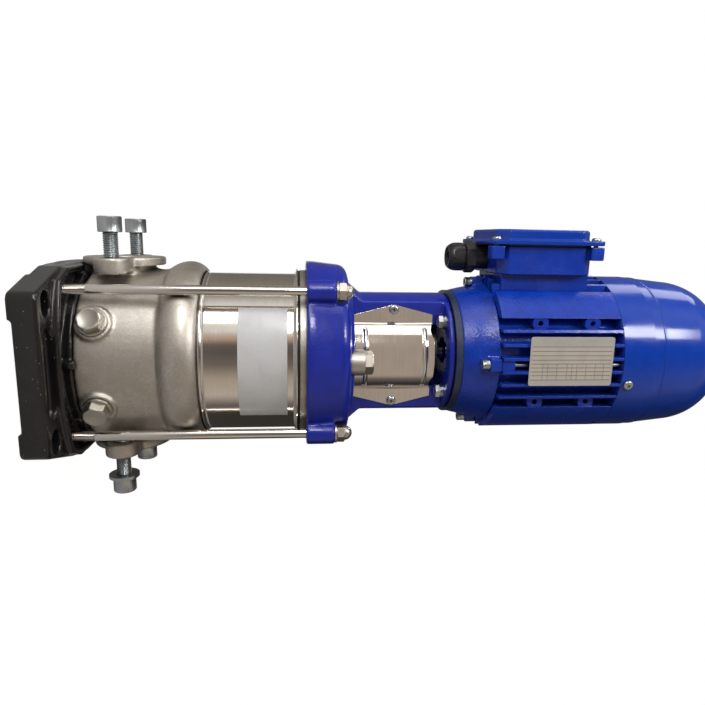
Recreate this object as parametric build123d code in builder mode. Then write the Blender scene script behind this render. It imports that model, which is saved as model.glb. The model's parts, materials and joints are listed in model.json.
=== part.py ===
from build123d import *
import os
from math import cos, pi, radians, sin, sqrt, tan

os.makedirs("parts", exist_ok=True)

# A vertical multistage in-line pump with a flange-mounted motor, in millimetres
# The origin is the middle of the foot's underside, +Z runs up the shaft, the ports face -X and +X,
# and the side with the drain plugs and the rating plate faces -Y

# Clearances
seat_gap = 0.3
screw_gap = 0.3
fit_gap = 0.1
running_gap = 0.05
impeller_gap = 0.6

# Foot
foot_length = 210.0
foot_width = 152.0
foot_end_width = 116.0
foot_shoulder_width = 148.0
foot_shoulder_length = 112.0
foot_thickness = 20.0
foot_corner = 7.0
foot_edge = 2.5
foot_underside_depth = 2.5
foot_pad_length = 34.0
foot_pocket_radius = 44.0
foot_pocket_depth = 12.0
foot_slot_inset_x = 8.0
foot_slot_inset_y = 15.0
foot_slot_length = 18.0
foot_slot_width = 14.0
foot_trough_length = 64.0
foot_trough_width = 13.0
foot_trough_depth = 5.0
rim_height = 5.0
rim_thickness = 5.0
rim_inset = 2.0
rim_end_inset = 18.0
rim_corner_drop = 13.0
rim_corner_flare = 7.0
rim_shoulder_inset = 1.0
seat_ring_height = 7.6
seat_ring_radius = 73.0
stop_lug_width = 6.0
stop_lug_offset = 3.0
stop_lug_height = 10.0

# Tie rods
rod_circle_radius = 81.0
rod_radius = 3.9
rod_count = 4
rod_depth_in_foot = 14.0
rod_washer_radius = 8.0
rod_washer_thickness = 1.6
nut_across_flats = 13.0
nut_hex_height = 6.5
nut_dome_radius = 5.9
nut_wall = 1.5

# Casing
port_height = 50.0
port_reach = 80.0
casing_radius = 70.9
casing_edge_height = 4.0
spigot_radius = 62.0
spigot_clearance = 0.5
bulge_radius = 76.5
bulge_height = 103.7
bulge_lower_curve = 25.0
bulge_upper_curve = 16.0
bulge_upper_angle = 50.0
chamber_radius = 64.0
chamber_floor = 32.0
chamber_top = 66.0
partition_thickness = 5.0
divider_offset = 20.0
divider_thickness = 5.0
eye_radius = 18.0
port_bore_radius = 15.1
port_thread_length = 14.0
port_relief_radius = 16.0
port_relief_depth = 12.0
port_disc_radius = 32.5
port_disc_thickness = 7.0
port_neck_radius = 23.0
port_neck_flare = 8.0
port_neck_depth = 18.0
port_neck_taper = 22.0
port_scallop_gap = 1.0
ear_pitch = 75.0
ear_width = 27.0
ear_thickness = 12.0
port_screw_radius = 5.9
port_screw_head_radius = 9.0
port_screw_head_height = 12.0
port_screw_out = 19.2
port_screw_socket_flats = 10.0
port_washer_radius = 12.0
port_washer_thickness = 2.5
plug_height = 41.5
plug_angle = 27.0
plug_boss_radius = 13.5
plug_boss_reach = 73.0
plug_shank_radius = 6.6
plug_hole_sink = 8.0
plug_collar_radius = 11.0
plug_collar_thickness = 2.5
plug_across_flats = 17.0
plug_hex_height = 7.5

# Sleeve
sleeve_radius = 67.3
sleeve_wall = 1.5
sleeve_above_stages = 16.957
sleeve_bead_height = 3.0
sleeve_bead_rise = 0.8
sleeve_lip_radius = 71.6
sleeve_lip_height = 3.4
socket_depth = 10.0
lower_ring_section = 1.3
upper_ring_height = 1.9

# Hydraulic stages
stage_count = 5
stage_pitch = 21.0
cup_radius = 60.0
cup_wall = 1.5
diffuser_level = 12.5
diffuser_radius = 52.5
guide_vane_count = 7
guide_vane_inset = 4.0
guide_vane_sweep = 35.0
blade_bow = 0.38
impeller_radius = 46.0
impeller_shroud = 1.2
impeller_level = 3.5
impeller_height = 7.6
impeller_neck_radius = 16.8
impeller_neck_wall = 1.5
impeller_blade_count = 6
impeller_blade_sweep = 60.0
hub_radius = 11.0
hub_start = 2.2
shaft_radius = 8.0
shaft_nut_flats = 20.0
shaft_nut_height = 6.0
shaft_tail = 5.0

# Head cover and seal
head_ring_radius = 70.2
head_ring_height = 5.0
head_spigot_depth = 8.0
head_plate_thickness = 6.0
skirt_window_count = 8
seal_chamber_radius = 20.0
seal_chamber_wall = 6.0
seal_chamber_height = 26.0
seal_roof_thickness = 5.0
seal_seat_radius = 12.0
seal_ring_radius = 14.0
seal_ring_height = 9.0
vent_reach = 53.0
vent_boss_radius = 10.5
vent_boss_out = 11.5
vent_plug_flats = 17.0
vent_plug_height = 7.0
vent_plug_shank_radius = 4.8

# Motor stool
stool_flange_height = 35.0
stool_flange_radius = 78.1
stool_flange_upper_radius = 75.8
stool_edge_height = 6.0
stool_shoulder_radius = 9.0
stool_lobe_radius = 9.0
stool_nut_level = 23.0
stool_pocket_radius = 9.8
stool_cone_radius = 62.0
stool_cone_height = 12.0
lantern_radius = 52.0
lantern_inner_radius = 35.0
lantern_flat = 24.0
window_start = 38.5
window_height = 79.0
stool_height = 122.4
window_corner = 4.0
window_overrun = 20.0

# Coupling guard
guard_wall = 1.0
guard_half_width = 28.0
guard_rise = 15.0
guard_reach = 44.0
guard_end_reach = 35.0
guard_start = 40.5
guard_length = 67.0
guard_screw_offset = 39.8
guard_screw_radius = 1.9
guard_screw_head_radius = 4.0
guard_screw_head_height = 2.2
guard_screw_depth = 8.0

# Coupling
coupling_radius = 22.0
coupling_length = 54.0
coupling_level = 60.0
coupling_split = 1.2
coupling_screw_offset = 15.0
coupling_screw_radius = 2.9
coupling_screw_head_radius = 4.9
shaft_end_gap = 2.0
motor_shaft_radius = 7.0

# Motor
flange_ring_radius = 54.4
flange_ring_thickness = 5.5
pilot_radius = 34.9
pilot_height = 4.5
motor_bolt_pcd = 85.0
motor_bolt_radius = 2.9
motor_bolt_flats = 10.0
motor_bolt_head = 5.0
motor_washer_radius = 6.0
motor_washer_thickness = 1.5
motor_bolt_depth = 10.0
shield_height = 29.0
shield_floor = 11.0
shield_root_radius = 54.8
shield_rim_radius = 62.0
shield_flare = 2.5
shield_belly = 4.0
frame_length = 101.0
frame_bore_radius = 52.4
frame_core_radius = 57.5
fin_tip_radius = 68.5
fin_pitch = 11.0
fin_thickness = 2.5
fins_per_side = 8
frame_bolt_radius = 2.4
frame_bolt_circle = 62.0
frame_bolt_head_radius = 4.2
frame_bolt_head_height = 6.0
frame_lug_width = 11.0
frame_lug_reach = 66.5
frame_lug_length = 10.0
frame_bolt_depth = 8.0
foot_pad_levels = (33.0, 77.5)
foot_pad_root = 12.0
pedestal_root = 8.0
foot_pad_width = 13.0
foot_pad_hole_radius = 2.2
fan_shield_height = 11.0
fan_shield_plate = 5.0
bearing_radius = 20.0
bearing_width = 12.0
bearing_bore_radius = 8.5
bearing_outer_wall = 3.6
bearing_inner_wall = 3.2
stator_end_gap = 6.5
stator_bore_radius = 33.0
air_gap = 0.5
winding_length = 12.0
winding_radius = 49.0
winding_bore_radius = 36.0
fan_radius = 54.0
fan_height = 18.0
fan_gap = 14.0
fan_plate = 2.0
fan_hub_radius = 13.0
fan_blade_count = 9
fan_shaft_radius = 6.5

# Fan cover
cover_radius = 68.2
cover_wall = 1.2
cover_straight = 27.5
cover_taper_length = 42.5
cover_shoulder_radius = 63.8
cover_crown_radius = 24.0
cover_crown_height = 42.0
cover_bow = 9.0
cover_end_bulge = 2.7
cover_overlap = 0.4
grille_slot_count = 18
grille_slot_inner = 15.0
grille_slot_outer = 44.0
grille_slot_width = 3.6
cover_screw_level = 6.5
cover_screw_first = 14.0
cover_screw_count = 3
cover_screw_radius = 1.9
cover_screw_head_radius = 4.2
cover_screw_head_height = 2.4
cover_screw_depth = 5.0

# Terminal box
pedestal_width = 60.0
pedestal_length = 76.0
pedestal_start = 7.0
box_floor_reach = 71.0
box_height = 23.5
box_width = 76.0
box_length = 82.0
box_start = 1.5
box_wall = 3.0
box_corner = 8.0
lid_depth = 13.5
lid_width = 88.0
lid_length = 98.0
lid_overhang = 9.5
lid_edge = 5.0
lid_wall = 3.0
lid_flange_thickness = 4.0
lid_panel_inset_low = 7.5
lid_panel_inset_high = 9.5
lid_panel_inset_side = 3.0
lid_panel_corner = 9.0
lid_panel_edge = 1.5
lid_cavity_corner = 5.0
lid_gasket_thickness = 1.0
lid_gasket_width = 4.0
lid_lug_radius = 5.5
lid_lug_height = 11.0
lid_screw_inset = 6.5
lid_screw_radius = 1.9
lid_screw_head_radius = 3.8
lid_screw_head_height = 2.6
lid_screw_length = 14.0
gland_reach = 84.0
gland_thread_radius = 9.8
gland_hex_flats = 24.0
gland_hex_length = 9.0
gland_collar_radius = 10.4
gland_collar_length = 10.5
gland_nut_radius = 11.8
gland_nut_length = 15.0
gland_bore_radius = 7.2
gland_cable_radius = 4.5
gland_seal_length = 12.0
terminal_board_thickness = 6.0
terminal_board_width = 30.0
terminal_board_length = 44.0
terminal_stud_radius = 1.9
terminal_stud_height = 6.0

# Plates
rating_plate_length = 70.0
rating_plate_width = 40.0
rating_plate_thickness = 0.5
rating_plate_level = 21.0
rating_plate_offset = -4.0
sleeve_label_length = 38.0
sleeve_label_half_angle = 40.0
sleeve_label_top_gap = 8.0
sleeve_label_thickness = 0.2

# Reaches and levels worked out from the sizes above
foot_slot_pitch_x = foot_end_width - 2 * foot_slot_inset_x
foot_slot_pitch_y = foot_length - 2 * foot_slot_inset_y
rim_end_reach = foot_length / 2 - rim_end_inset
rim_corner_reach = rim_end_reach - rim_corner_drop
stator_length = frame_length - 2 * winding_length - 2 * stator_end_gap
box_top_reach = box_floor_reach + box_height
lid_reach = box_top_reach + lid_depth
seat_level = foot_thickness + seat_ring_height
stage_floor = chamber_top + partition_thickness
casing_top = bulge_height + bulge_upper_curve * sin(radians(bulge_upper_angle))
socket_floor = casing_top - socket_depth
stage_top = stage_floor + stage_count * stage_pitch
sleeve_top = stage_top + sleeve_above_stages
head_ring_level = sleeve_top + upper_ring_height
stool_level = head_ring_level + head_ring_height
head_floor = head_ring_level - head_spigot_depth
flange_level = stool_level + stool_height
motor_level = flange_level + flange_ring_thickness
frame_level = motor_level + shield_height
frame_top = frame_level + frame_length
lower_bearing_level = frame_level - bearing_width - 2.0
upper_bearing_level = frame_top - 2.0
coupling_bottom = stool_level + coupling_level
coupling_middle = coupling_bottom + coupling_length / 2
rod_angles = [45 + 360 / rod_count * turn for turn in range(rod_count)]
rod_spots = PolarLocations(rod_circle_radius, rod_count, start_angle=45)
sleeve_bore_radius = sleeve_radius - sleeve_wall


def polar(radius, angle):
    """A point on the ground plane from its radius and its angle in degrees."""
    return (radius * cos(radians(angle)), radius * sin(radians(angle)))


def radial_plane(angle, level, reach):
    """A plane that faces outward at an angle round the shaft, at a level and a reach."""
    x, y = polar(1.0, angle)
    return Plane(origin=(reach * x, reach * y, level), x_dir=(0, 0, 1), z_dir=(x, y, 0))


def corner_radius(flats):
    """The corner radius of a hexagon from its size across flats."""
    return flats / sqrt(3)


def blade(inner_radius, outer_radius, sweep_back, thickness):
    """The outline of one backward-curved blade, as a sketch on the ground plane."""
    middle_radius = (inner_radius + outer_radius) / 2
    half_turn = 90 * thickness / (pi * middle_radius)
    with BuildSketch() as outline:
        with BuildLine():
            for side in (-1, 1):
                ThreePointArc(
                    polar(inner_radius, side * half_turn),
                    polar(middle_radius, side * half_turn - blade_bow * sweep_back),
                    polar(outer_radius, side * half_turn - sweep_back),
                )
            Line(polar(inner_radius, -half_turn), polar(inner_radius, half_turn))
            Line(
                polar(outer_radius, -half_turn - sweep_back),
                polar(outer_radius, half_turn - sweep_back),
            )
        make_face()
    return outline.sketch


# The cast foot, with slots for the floor bolts and a raised rim round the casing's seat
half_end = foot_end_width / 2
half_shoulder = foot_shoulder_width / 2
half_foot = foot_length / 2
half_shoulder_length = foot_shoulder_length / 2
rim_side = foot_width / 2 - rim_inset
port_neck_start = casing_radius - port_neck_depth
rim_corner_x = half_end + rim_corner_flare
rim_shoulder_x = rim_side - rim_shoulder_inset
port_planes = [
    Plane(origin=(0, 0, port_height), x_dir=(0, side, 0), z_dir=(side, 0, 0)) for side in (-1, 1)
]

with BuildPart() as base_foot:
    with BuildSketch() as foot_plan:
        with BuildLine():
            ThreePointArc(
                (half_shoulder, -half_shoulder_length),
                (foot_width / 2, 0),
                (half_shoulder, half_shoulder_length),
            )
            Polyline(
                (half_shoulder, half_shoulder_length),
                (half_end, half_foot),
                (-half_end, half_foot),
                (-half_shoulder, half_shoulder_length),
            )
            ThreePointArc(
                (-half_shoulder, half_shoulder_length),
                (-foot_width / 2, 0),
                (-half_shoulder, -half_shoulder_length),
            )
            Polyline(
                (-half_shoulder, -half_shoulder_length),
                (-half_end, -half_foot),
                (half_end, -half_foot),
                (half_shoulder, -half_shoulder_length),
            )
        make_face()
        fillet(foot_plan.vertices(), radius=foot_corner)
    extrude(amount=foot_thickness)
    fillet(base_foot.faces().sort_by(Axis.Z)[-1].edges(), radius=foot_edge)
    with BuildSketch(Plane.XY.offset(foot_thickness - foot_edge)):
        with BuildLine():
            for end in (-1, 1):
                ThreePointArc(
                    (-rim_corner_x, end * rim_corner_reach),
                    (0, end * rim_end_reach),
                    (rim_corner_x, end * rim_corner_reach),
                )
            for side in (-1, 1):
                for end in (-1, 1):
                    corner = (side * rim_corner_x, end * rim_corner_reach)
                    Line(corner, (side * rim_shoulder_x, end * half_shoulder_length))
                ThreePointArc(
                    (side * rim_shoulder_x, -half_shoulder_length),
                    (side * rim_side, 0),
                    (side * rim_shoulder_x, half_shoulder_length),
                )
        make_face()
        offset(amount=-rim_thickness, mode=Mode.SUBTRACT)
    extrude(amount=rim_height + foot_edge)
    fillet(base_foot.faces().sort_by(Axis.Z)[-1].edges(), radius=rim_thickness / 4)
    with BuildSketch(Plane.XY.offset(foot_thickness - 1)):
        Circle(seat_ring_radius)
        Circle(spigot_radius + seat_gap, mode=Mode.SUBTRACT)
    extrude(amount=seat_ring_height + 1)
    with BuildSketch(Plane.XY.offset(foot_thickness - 1)):
        with Locations((-stop_lug_offset, -seat_ring_radius - stop_lug_width / 3)):
            Rectangle(stop_lug_width, stop_lug_width)
        Circle(seat_ring_radius - 0.5, mode=Mode.SUBTRACT)
    extrude(amount=stop_lug_height + 1)
    with BuildSketch():
        Rectangle(foot_width + 2, foot_length + 2)
        with GridLocations(foot_width - foot_pad_length, foot_length - foot_pad_length, 2, 2):
            Rectangle(foot_pad_length + 4, foot_pad_length, mode=Mode.SUBTRACT)
    extrude(amount=foot_underside_depth, mode=Mode.SUBTRACT)
    with BuildSketch():
        Circle(foot_pocket_radius)
    extrude(amount=foot_pocket_depth, mode=Mode.SUBTRACT)
    with BuildSketch():
        with GridLocations(foot_slot_pitch_x, foot_slot_pitch_y, 2, 2):
            SlotOverall(foot_slot_length, foot_slot_width)
    extrude(amount=foot_thickness, mode=Mode.SUBTRACT)
    with BuildSketch(Plane.XY.offset(foot_thickness - foot_trough_depth)):
        with GridLocations(0, foot_slot_pitch_y + 4, 1, 2):
            SlotOverall(foot_trough_length, foot_trough_width)
    extrude(amount=foot_trough_depth, mode=Mode.SUBTRACT)
    with BuildSketch(Plane.XY.offset(foot_thickness - rod_depth_in_foot)):
        with rod_spots:
            Circle(rod_radius + screw_gap)
    extrude(amount=rod_depth_in_foot, mode=Mode.SUBTRACT)
    for port_plane in port_planes:
        with BuildSketch(port_plane.offset(port_neck_start - port_scallop_gap)):
            Circle(port_disc_radius + port_scallop_gap)
        extrude(amount=foot_width, mode=Mode.SUBTRACT)
base_foot.part.label = "base_foot"
export_step(base_foot.part, "parts/base_foot.step")

# The pump casing, a stainless casting with an in-line port on each side
spigot_bottom = foot_thickness + spigot_clearance
socket_radius = sleeve_radius + seat_gap
port_relief_start = chamber_radius - port_relief_depth
port_thread_start = port_reach - port_thread_length
lower_ring_level = socket_floor + socket_depth / 2
with BuildPart() as pump_casing:
    with BuildSketch(Plane.XZ):
        with BuildLine():
            lower_centre = (bulge_radius - bulge_lower_curve, bulge_height)
            lower_curve = CenterArc(lower_centre, bulge_lower_curve, -45, 45)
            upper_curve = CenterArc(
                (bulge_radius - bulge_upper_curve, bulge_height), bulge_upper_curve, 0, bulge_upper_angle
            )
            Polyline(
                (upper_curve @ 1),
                (0, casing_top),
                (0, spigot_bottom),
                (spigot_radius, spigot_bottom),
                (spigot_radius, seat_level),
                (casing_radius, seat_level),
                (casing_radius, seat_level + casing_edge_height),
                (lower_curve @ 0),
            )
        make_face()
    revolve(axis=Axis.Z)
    for port_plane in port_planes:
        with BuildSketch(port_plane.offset(port_neck_start)):
            Circle(port_neck_radius + port_neck_flare)
        extrude(amount=port_reach - port_disc_thickness - port_neck_start, taper=port_neck_taper)
        with BuildSketch(port_plane.offset(port_neck_start)):
            Circle(port_neck_radius)
        extrude(amount=port_reach - port_neck_start)
        with BuildSketch(port_plane.offset(port_reach - port_disc_thickness)):
            Circle(port_disc_radius)
        extrude(amount=port_disc_thickness)
        with BuildSketch(port_plane.offset(port_reach - ear_thickness)):
            SlotCenterToCenter(ear_pitch, ear_width)
        extrude(amount=ear_thickness)
    for side in (-1, 1):
        with BuildSketch(radial_plane(-90 + side * plug_angle, plug_height, chamber_radius + 2)):
            Circle(plug_boss_radius)
        extrude(amount=plug_boss_reach - chamber_radius - 2)
    with BuildSketch(Plane.XY.offset(socket_floor)):
        Circle(socket_radius)
    extrude(amount=socket_depth, mode=Mode.SUBTRACT)
    with BuildSketch(Plane.XY.offset(stage_floor)):
        Circle(chamber_radius)
    extrude(amount=socket_floor - stage_floor, mode=Mode.SUBTRACT)
    with BuildSketch(Plane.XY.offset(chamber_floor)):
        Circle(chamber_radius)
        with Locations((divider_offset + chamber_radius, 0)):
            Rectangle(2 * chamber_radius, 2 * chamber_radius, mode=Mode.SUBTRACT)
    extrude(amount=chamber_top - chamber_floor, mode=Mode.SUBTRACT)
    with BuildSketch(Plane.XY.offset(chamber_floor)):
        Circle(chamber_radius)
        with Locations((divider_offset + divider_thickness - chamber_radius, 0)):
            Rectangle(2 * chamber_radius, 2 * chamber_radius, mode=Mode.SUBTRACT)
    extrude(amount=chamber_top - chamber_floor, mode=Mode.SUBTRACT)
    with BuildSketch(Plane.XY.offset(chamber_top)):
        Circle(chamber_radius)
        Circle(cup_radius, mode=Mode.SUBTRACT)
        with Locations((divider_offset + divider_thickness - chamber_radius, 0)):
            Rectangle(2 * chamber_radius, 2 * chamber_radius, mode=Mode.SUBTRACT)
    extrude(amount=partition_thickness, mode=Mode.SUBTRACT)
    with BuildSketch(Plane.XY.offset(chamber_top)):
        Circle(eye_radius)
    extrude(amount=partition_thickness, mode=Mode.SUBTRACT)
    for port_plane in port_planes:
        with BuildSketch(port_plane.offset(port_relief_start)):
            Circle(port_relief_radius)
        extrude(amount=port_thread_start - port_relief_start, mode=Mode.SUBTRACT)
        with BuildSketch(port_plane.offset(port_thread_start)):
            Circle(port_bore_radius)
        extrude(amount=port_thread_length, mode=Mode.SUBTRACT)
        with BuildSketch(port_plane.offset(port_reach - ear_thickness)):
            with GridLocations(ear_pitch, 0, 2, 1):
                Circle(port_screw_radius + screw_gap)
        extrude(amount=ear_thickness, mode=Mode.SUBTRACT)
    for side in (-1, 1):
        with BuildSketch(radial_plane(-90 + side * plug_angle, plug_height, chamber_radius - plug_hole_sink)):
            Circle(plug_shank_radius + screw_gap)
        extrude(amount=plug_boss_reach - chamber_radius + plug_hole_sink, mode=Mode.SUBTRACT)
    with BuildSketch(Plane.XZ):
        with Locations((socket_radius, lower_ring_level)):
            Rectangle(4 * lower_ring_section + 4 * fit_gap, 2 * lower_ring_section + 2 * fit_gap)
    revolve(axis=Axis.Z, mode=Mode.SUBTRACT)
pump_casing.part.label = "pump_casing"
export_step(pump_casing.part, "parts/pump_casing.step")

# Two collar plugs that close the drain and gauge holes
with BuildPart() as casing_plugs:
    for side in (-1, 1):
        plug_plane = radial_plane(-90 + side * plug_angle, plug_height, plug_boss_reach)
        with BuildSketch(plug_plane):
            Circle(plug_collar_radius)
        extrude(amount=plug_collar_thickness)
        with BuildSketch(plug_plane.offset(plug_collar_thickness)):
            RegularPolygon(plug_across_flats / 2, 6, major_radius=False)
        extrude(amount=plug_hex_height)
        with BuildSketch(plug_plane):
            Circle(plug_shank_radius)
        extrude(amount=-(plug_boss_reach - chamber_radius))
casing_plugs.part.label = "casing_plugs"
export_step(casing_plugs.part, "parts/casing_plugs.step")

# Socket-head screws that wait in the tapped ears of both port flanges
with BuildPart() as port_screws:
    for port_plane in port_planes:
        with BuildSketch(port_plane.offset(port_reach - ear_thickness)):
            with GridLocations(ear_pitch, 0, 2, 1):
                Circle(port_screw_radius)
        extrude(amount=ear_thickness + port_screw_out)
        with BuildSketch(port_plane.offset(port_reach + port_screw_out)):
            with GridLocations(ear_pitch, 0, 2, 1):
                Circle(port_screw_head_radius)
        extrude(amount=port_screw_head_height)
        with BuildSketch(port_plane.offset(port_reach + port_screw_out + port_screw_head_height / 2)):
            with GridLocations(ear_pitch, 0, 2, 1):
                RegularPolygon(port_screw_socket_flats / 2, 6, major_radius=False)
        extrude(amount=port_screw_head_height / 2, mode=Mode.SUBTRACT)
port_screws.part.label = "port_screws"
export_step(port_screws.part, "parts/port_screws.step")

# Washers under the heads of the two screws in the +X port
with BuildPart() as port_washers:
    with BuildSketch(port_planes[1].offset(port_reach + port_screw_out - port_washer_thickness)):
        with GridLocations(ear_pitch, 0, 2, 1):
            Circle(port_washer_radius)
            Circle(port_screw_radius + screw_gap, mode=Mode.SUBTRACT)
    extrude(amount=port_washer_thickness)
port_washers.part.label = "port_washers"
export_step(port_washers.part, "parts/port_washers.step")

# The ring seal between the casing's socket and the sleeve
with BuildPart() as lower_ring_seal:
    with BuildSketch(Plane.XZ):
        with Locations((socket_radius + lower_ring_section + fit_gap / 2, lower_ring_level)):
            Circle(lower_ring_section)
    revolve(axis=Axis.Z)
lower_ring_seal.part.label = "lower_ring_seal"
export_step(lower_ring_seal.part, "parts/lower_ring_seal.step")

# The polished sleeve round the stages, beaded at its foot and flared at its top
lip_thickness = sleeve_wall / 1.5
lip_start = sleeve_top - sleeve_lip_height
bead_radius = sleeve_radius + sleeve_bead_rise

with BuildPart() as outer_sleeve:
    with BuildSketch(Plane.XZ):
        with BuildLine():
            Polyline(
                (sleeve_radius, socket_floor),
                (sleeve_radius, casing_top + seat_gap),
                (bead_radius, casing_top + 2 * seat_gap),
                (bead_radius, casing_top + sleeve_bead_height),
                (sleeve_radius, casing_top + sleeve_bead_height + seat_gap),
                (sleeve_radius, lip_start),
                (sleeve_lip_radius, sleeve_top - lip_thickness),
                (sleeve_lip_radius, sleeve_top),
                (sleeve_radius + lip_thickness, sleeve_top),
                (sleeve_bore_radius, lip_start + lip_thickness / 2),
                (sleeve_bore_radius, socket_floor),
                close=True,
            )
        make_face()
    revolve(axis=Axis.Z)
outer_sleeve.part.label = "outer_sleeve"
export_step(outer_sleeve.part, "parts/outer_sleeve.step")

# The flat seal between the sleeve's lip and the head ring
with BuildPart() as upper_ring_seal:
    with BuildSketch(Plane.XY.offset(sleeve_top)):
        Circle(sleeve_lip_radius - 2 * lip_thickness)
        Circle(sleeve_radius - seat_gap, mode=Mode.SUBTRACT)
    extrude(amount=upper_ring_height)
upper_ring_seal.part.label = "upper_ring_seal"
export_step(upper_ring_seal.part, "parts/upper_ring_seal.step")

# The stage casings, each a cup with return guide vanes that carry the next one
eye_clearance_radius = impeller_neck_radius + impeller_gap
guide_hole_radius = hub_radius + 0.5
guide_vane = blade(
    eye_clearance_radius + guide_vane_inset, cup_radius - cup_wall / 2, guide_vane_sweep, cup_wall
)

for stage in range(stage_count):
    level = stage_floor + stage * stage_pitch
    with BuildPart() as stage_casing:
        with BuildSketch(Plane.XY.offset(level)):
            Circle(cup_radius)
        extrude(amount=stage_pitch)
        with BuildSketch(Plane.XY.offset(level + cup_wall)):
            Circle(cup_radius - cup_wall)
        extrude(amount=stage_pitch - cup_wall, mode=Mode.SUBTRACT)
        with BuildSketch(Plane.XY.offset(level)):
            Circle(eye_clearance_radius)
        extrude(amount=cup_wall, mode=Mode.SUBTRACT)
        with BuildSketch(Plane.XY.offset(level + diffuser_level)):
            Circle(diffuser_radius)
            Circle(guide_hole_radius, mode=Mode.SUBTRACT)
        extrude(amount=cup_wall)
        with BuildSketch(Plane.XY.offset(level + diffuser_level + cup_wall)):
            with PolarLocations(0, guide_vane_count):
                add(guide_vane)
        extrude(amount=stage_pitch - diffuser_level - cup_wall)
    stage_casing.part.label = f"stage_casing_{stage + 1}"
    export_step(stage_casing.part, f"parts/stage_casing_{stage + 1}.step")

# The impellers, closed wheels with backward-curved blades between two shrouds
impeller_bore_radius = shaft_radius + fit_gap
impeller_eye_radius = impeller_neck_radius - impeller_neck_wall
impeller_blade = blade(impeller_eye_radius, impeller_radius, impeller_blade_sweep, impeller_shroud)

for stage in range(stage_count):
    level = stage_floor + stage * stage_pitch
    wheel = level + impeller_level
    wheel_inside = wheel + impeller_shroud
    back_shroud = wheel + impeller_height - impeller_shroud
    with BuildPart() as impeller:
        with BuildSketch(Plane.XY.offset(level + hub_start)):
            Circle(hub_radius)
        extrude(amount=stage_pitch)
        with BuildSketch(Plane.XY.offset(level + impeller_gap)):
            Circle(impeller_neck_radius)
            Circle(impeller_eye_radius, mode=Mode.SUBTRACT)
        extrude(amount=impeller_level - impeller_gap)
        with BuildSketch(Plane.XY.offset(wheel)):
            Circle(impeller_radius)
            Circle(impeller_eye_radius, mode=Mode.SUBTRACT)
        extrude(amount=impeller_shroud)
        with BuildSketch(Plane.XY.offset(wheel_inside)):
            with PolarLocations(0, impeller_blade_count):
                add(impeller_blade)
        extrude(amount=back_shroud - wheel_inside)
        with BuildSketch(Plane.XY.offset(back_shroud)):
            Circle(impeller_radius)
        extrude(amount=impeller_shroud)
        with BuildSketch(Plane.XY.offset(level + hub_start)):
            Circle(impeller_bore_radius)
        extrude(amount=stage_pitch, mode=Mode.SUBTRACT)
    impeller.part.label = f"impeller_{stage + 1}"
    export_step(impeller.part, f"parts/impeller_{stage + 1}.step")

# The pump shaft with the nut that clamps the impellers from above
stack_bottom = stage_floor + hub_start
stack_top = stage_top + hub_start
shaft_bottom = stack_bottom - shaft_tail
shaft_top = coupling_middle - shaft_end_gap / 2

with BuildPart() as pump_shaft:
    with BuildSketch(Plane.XY.offset(shaft_bottom)):
        Circle(hub_radius)
    extrude(amount=shaft_tail)
    with BuildSketch(Plane.XY.offset(stack_bottom)):
        Circle(shaft_radius)
    extrude(amount=shaft_top - stack_bottom)
    chamfer(pump_shaft.faces().sort_by(Axis.Z)[-1].edges(), length=fit_gap * 10)
pump_shaft.part.label = "pump_shaft"
export_step(pump_shaft.part, "parts/pump_shaft.step")

with BuildPart() as shaft_nut:
    with BuildSketch(Plane.XY.offset(stack_top)):
        RegularPolygon(shaft_nut_flats / 2, 6, major_radius=False)
        Circle(shaft_radius + fit_gap, mode=Mode.SUBTRACT)
    extrude(amount=shaft_nut_height)
shaft_nut.part.label = "shaft_nut"
export_step(shaft_nut.part, "parts/shaft_nut.step")

# The head cover, whose ring closes the sleeve and whose chamber holds the shaft seal
chamber_outer_radius = seal_chamber_radius + seal_chamber_wall
chamber_roof = stool_level + seal_chamber_height
head_plate_top = head_floor + head_plate_thickness
seat_bore_radius = seal_seat_radius + fit_gap
vent_boss_top = stool_level + stool_flange_height + vent_boss_out

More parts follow.
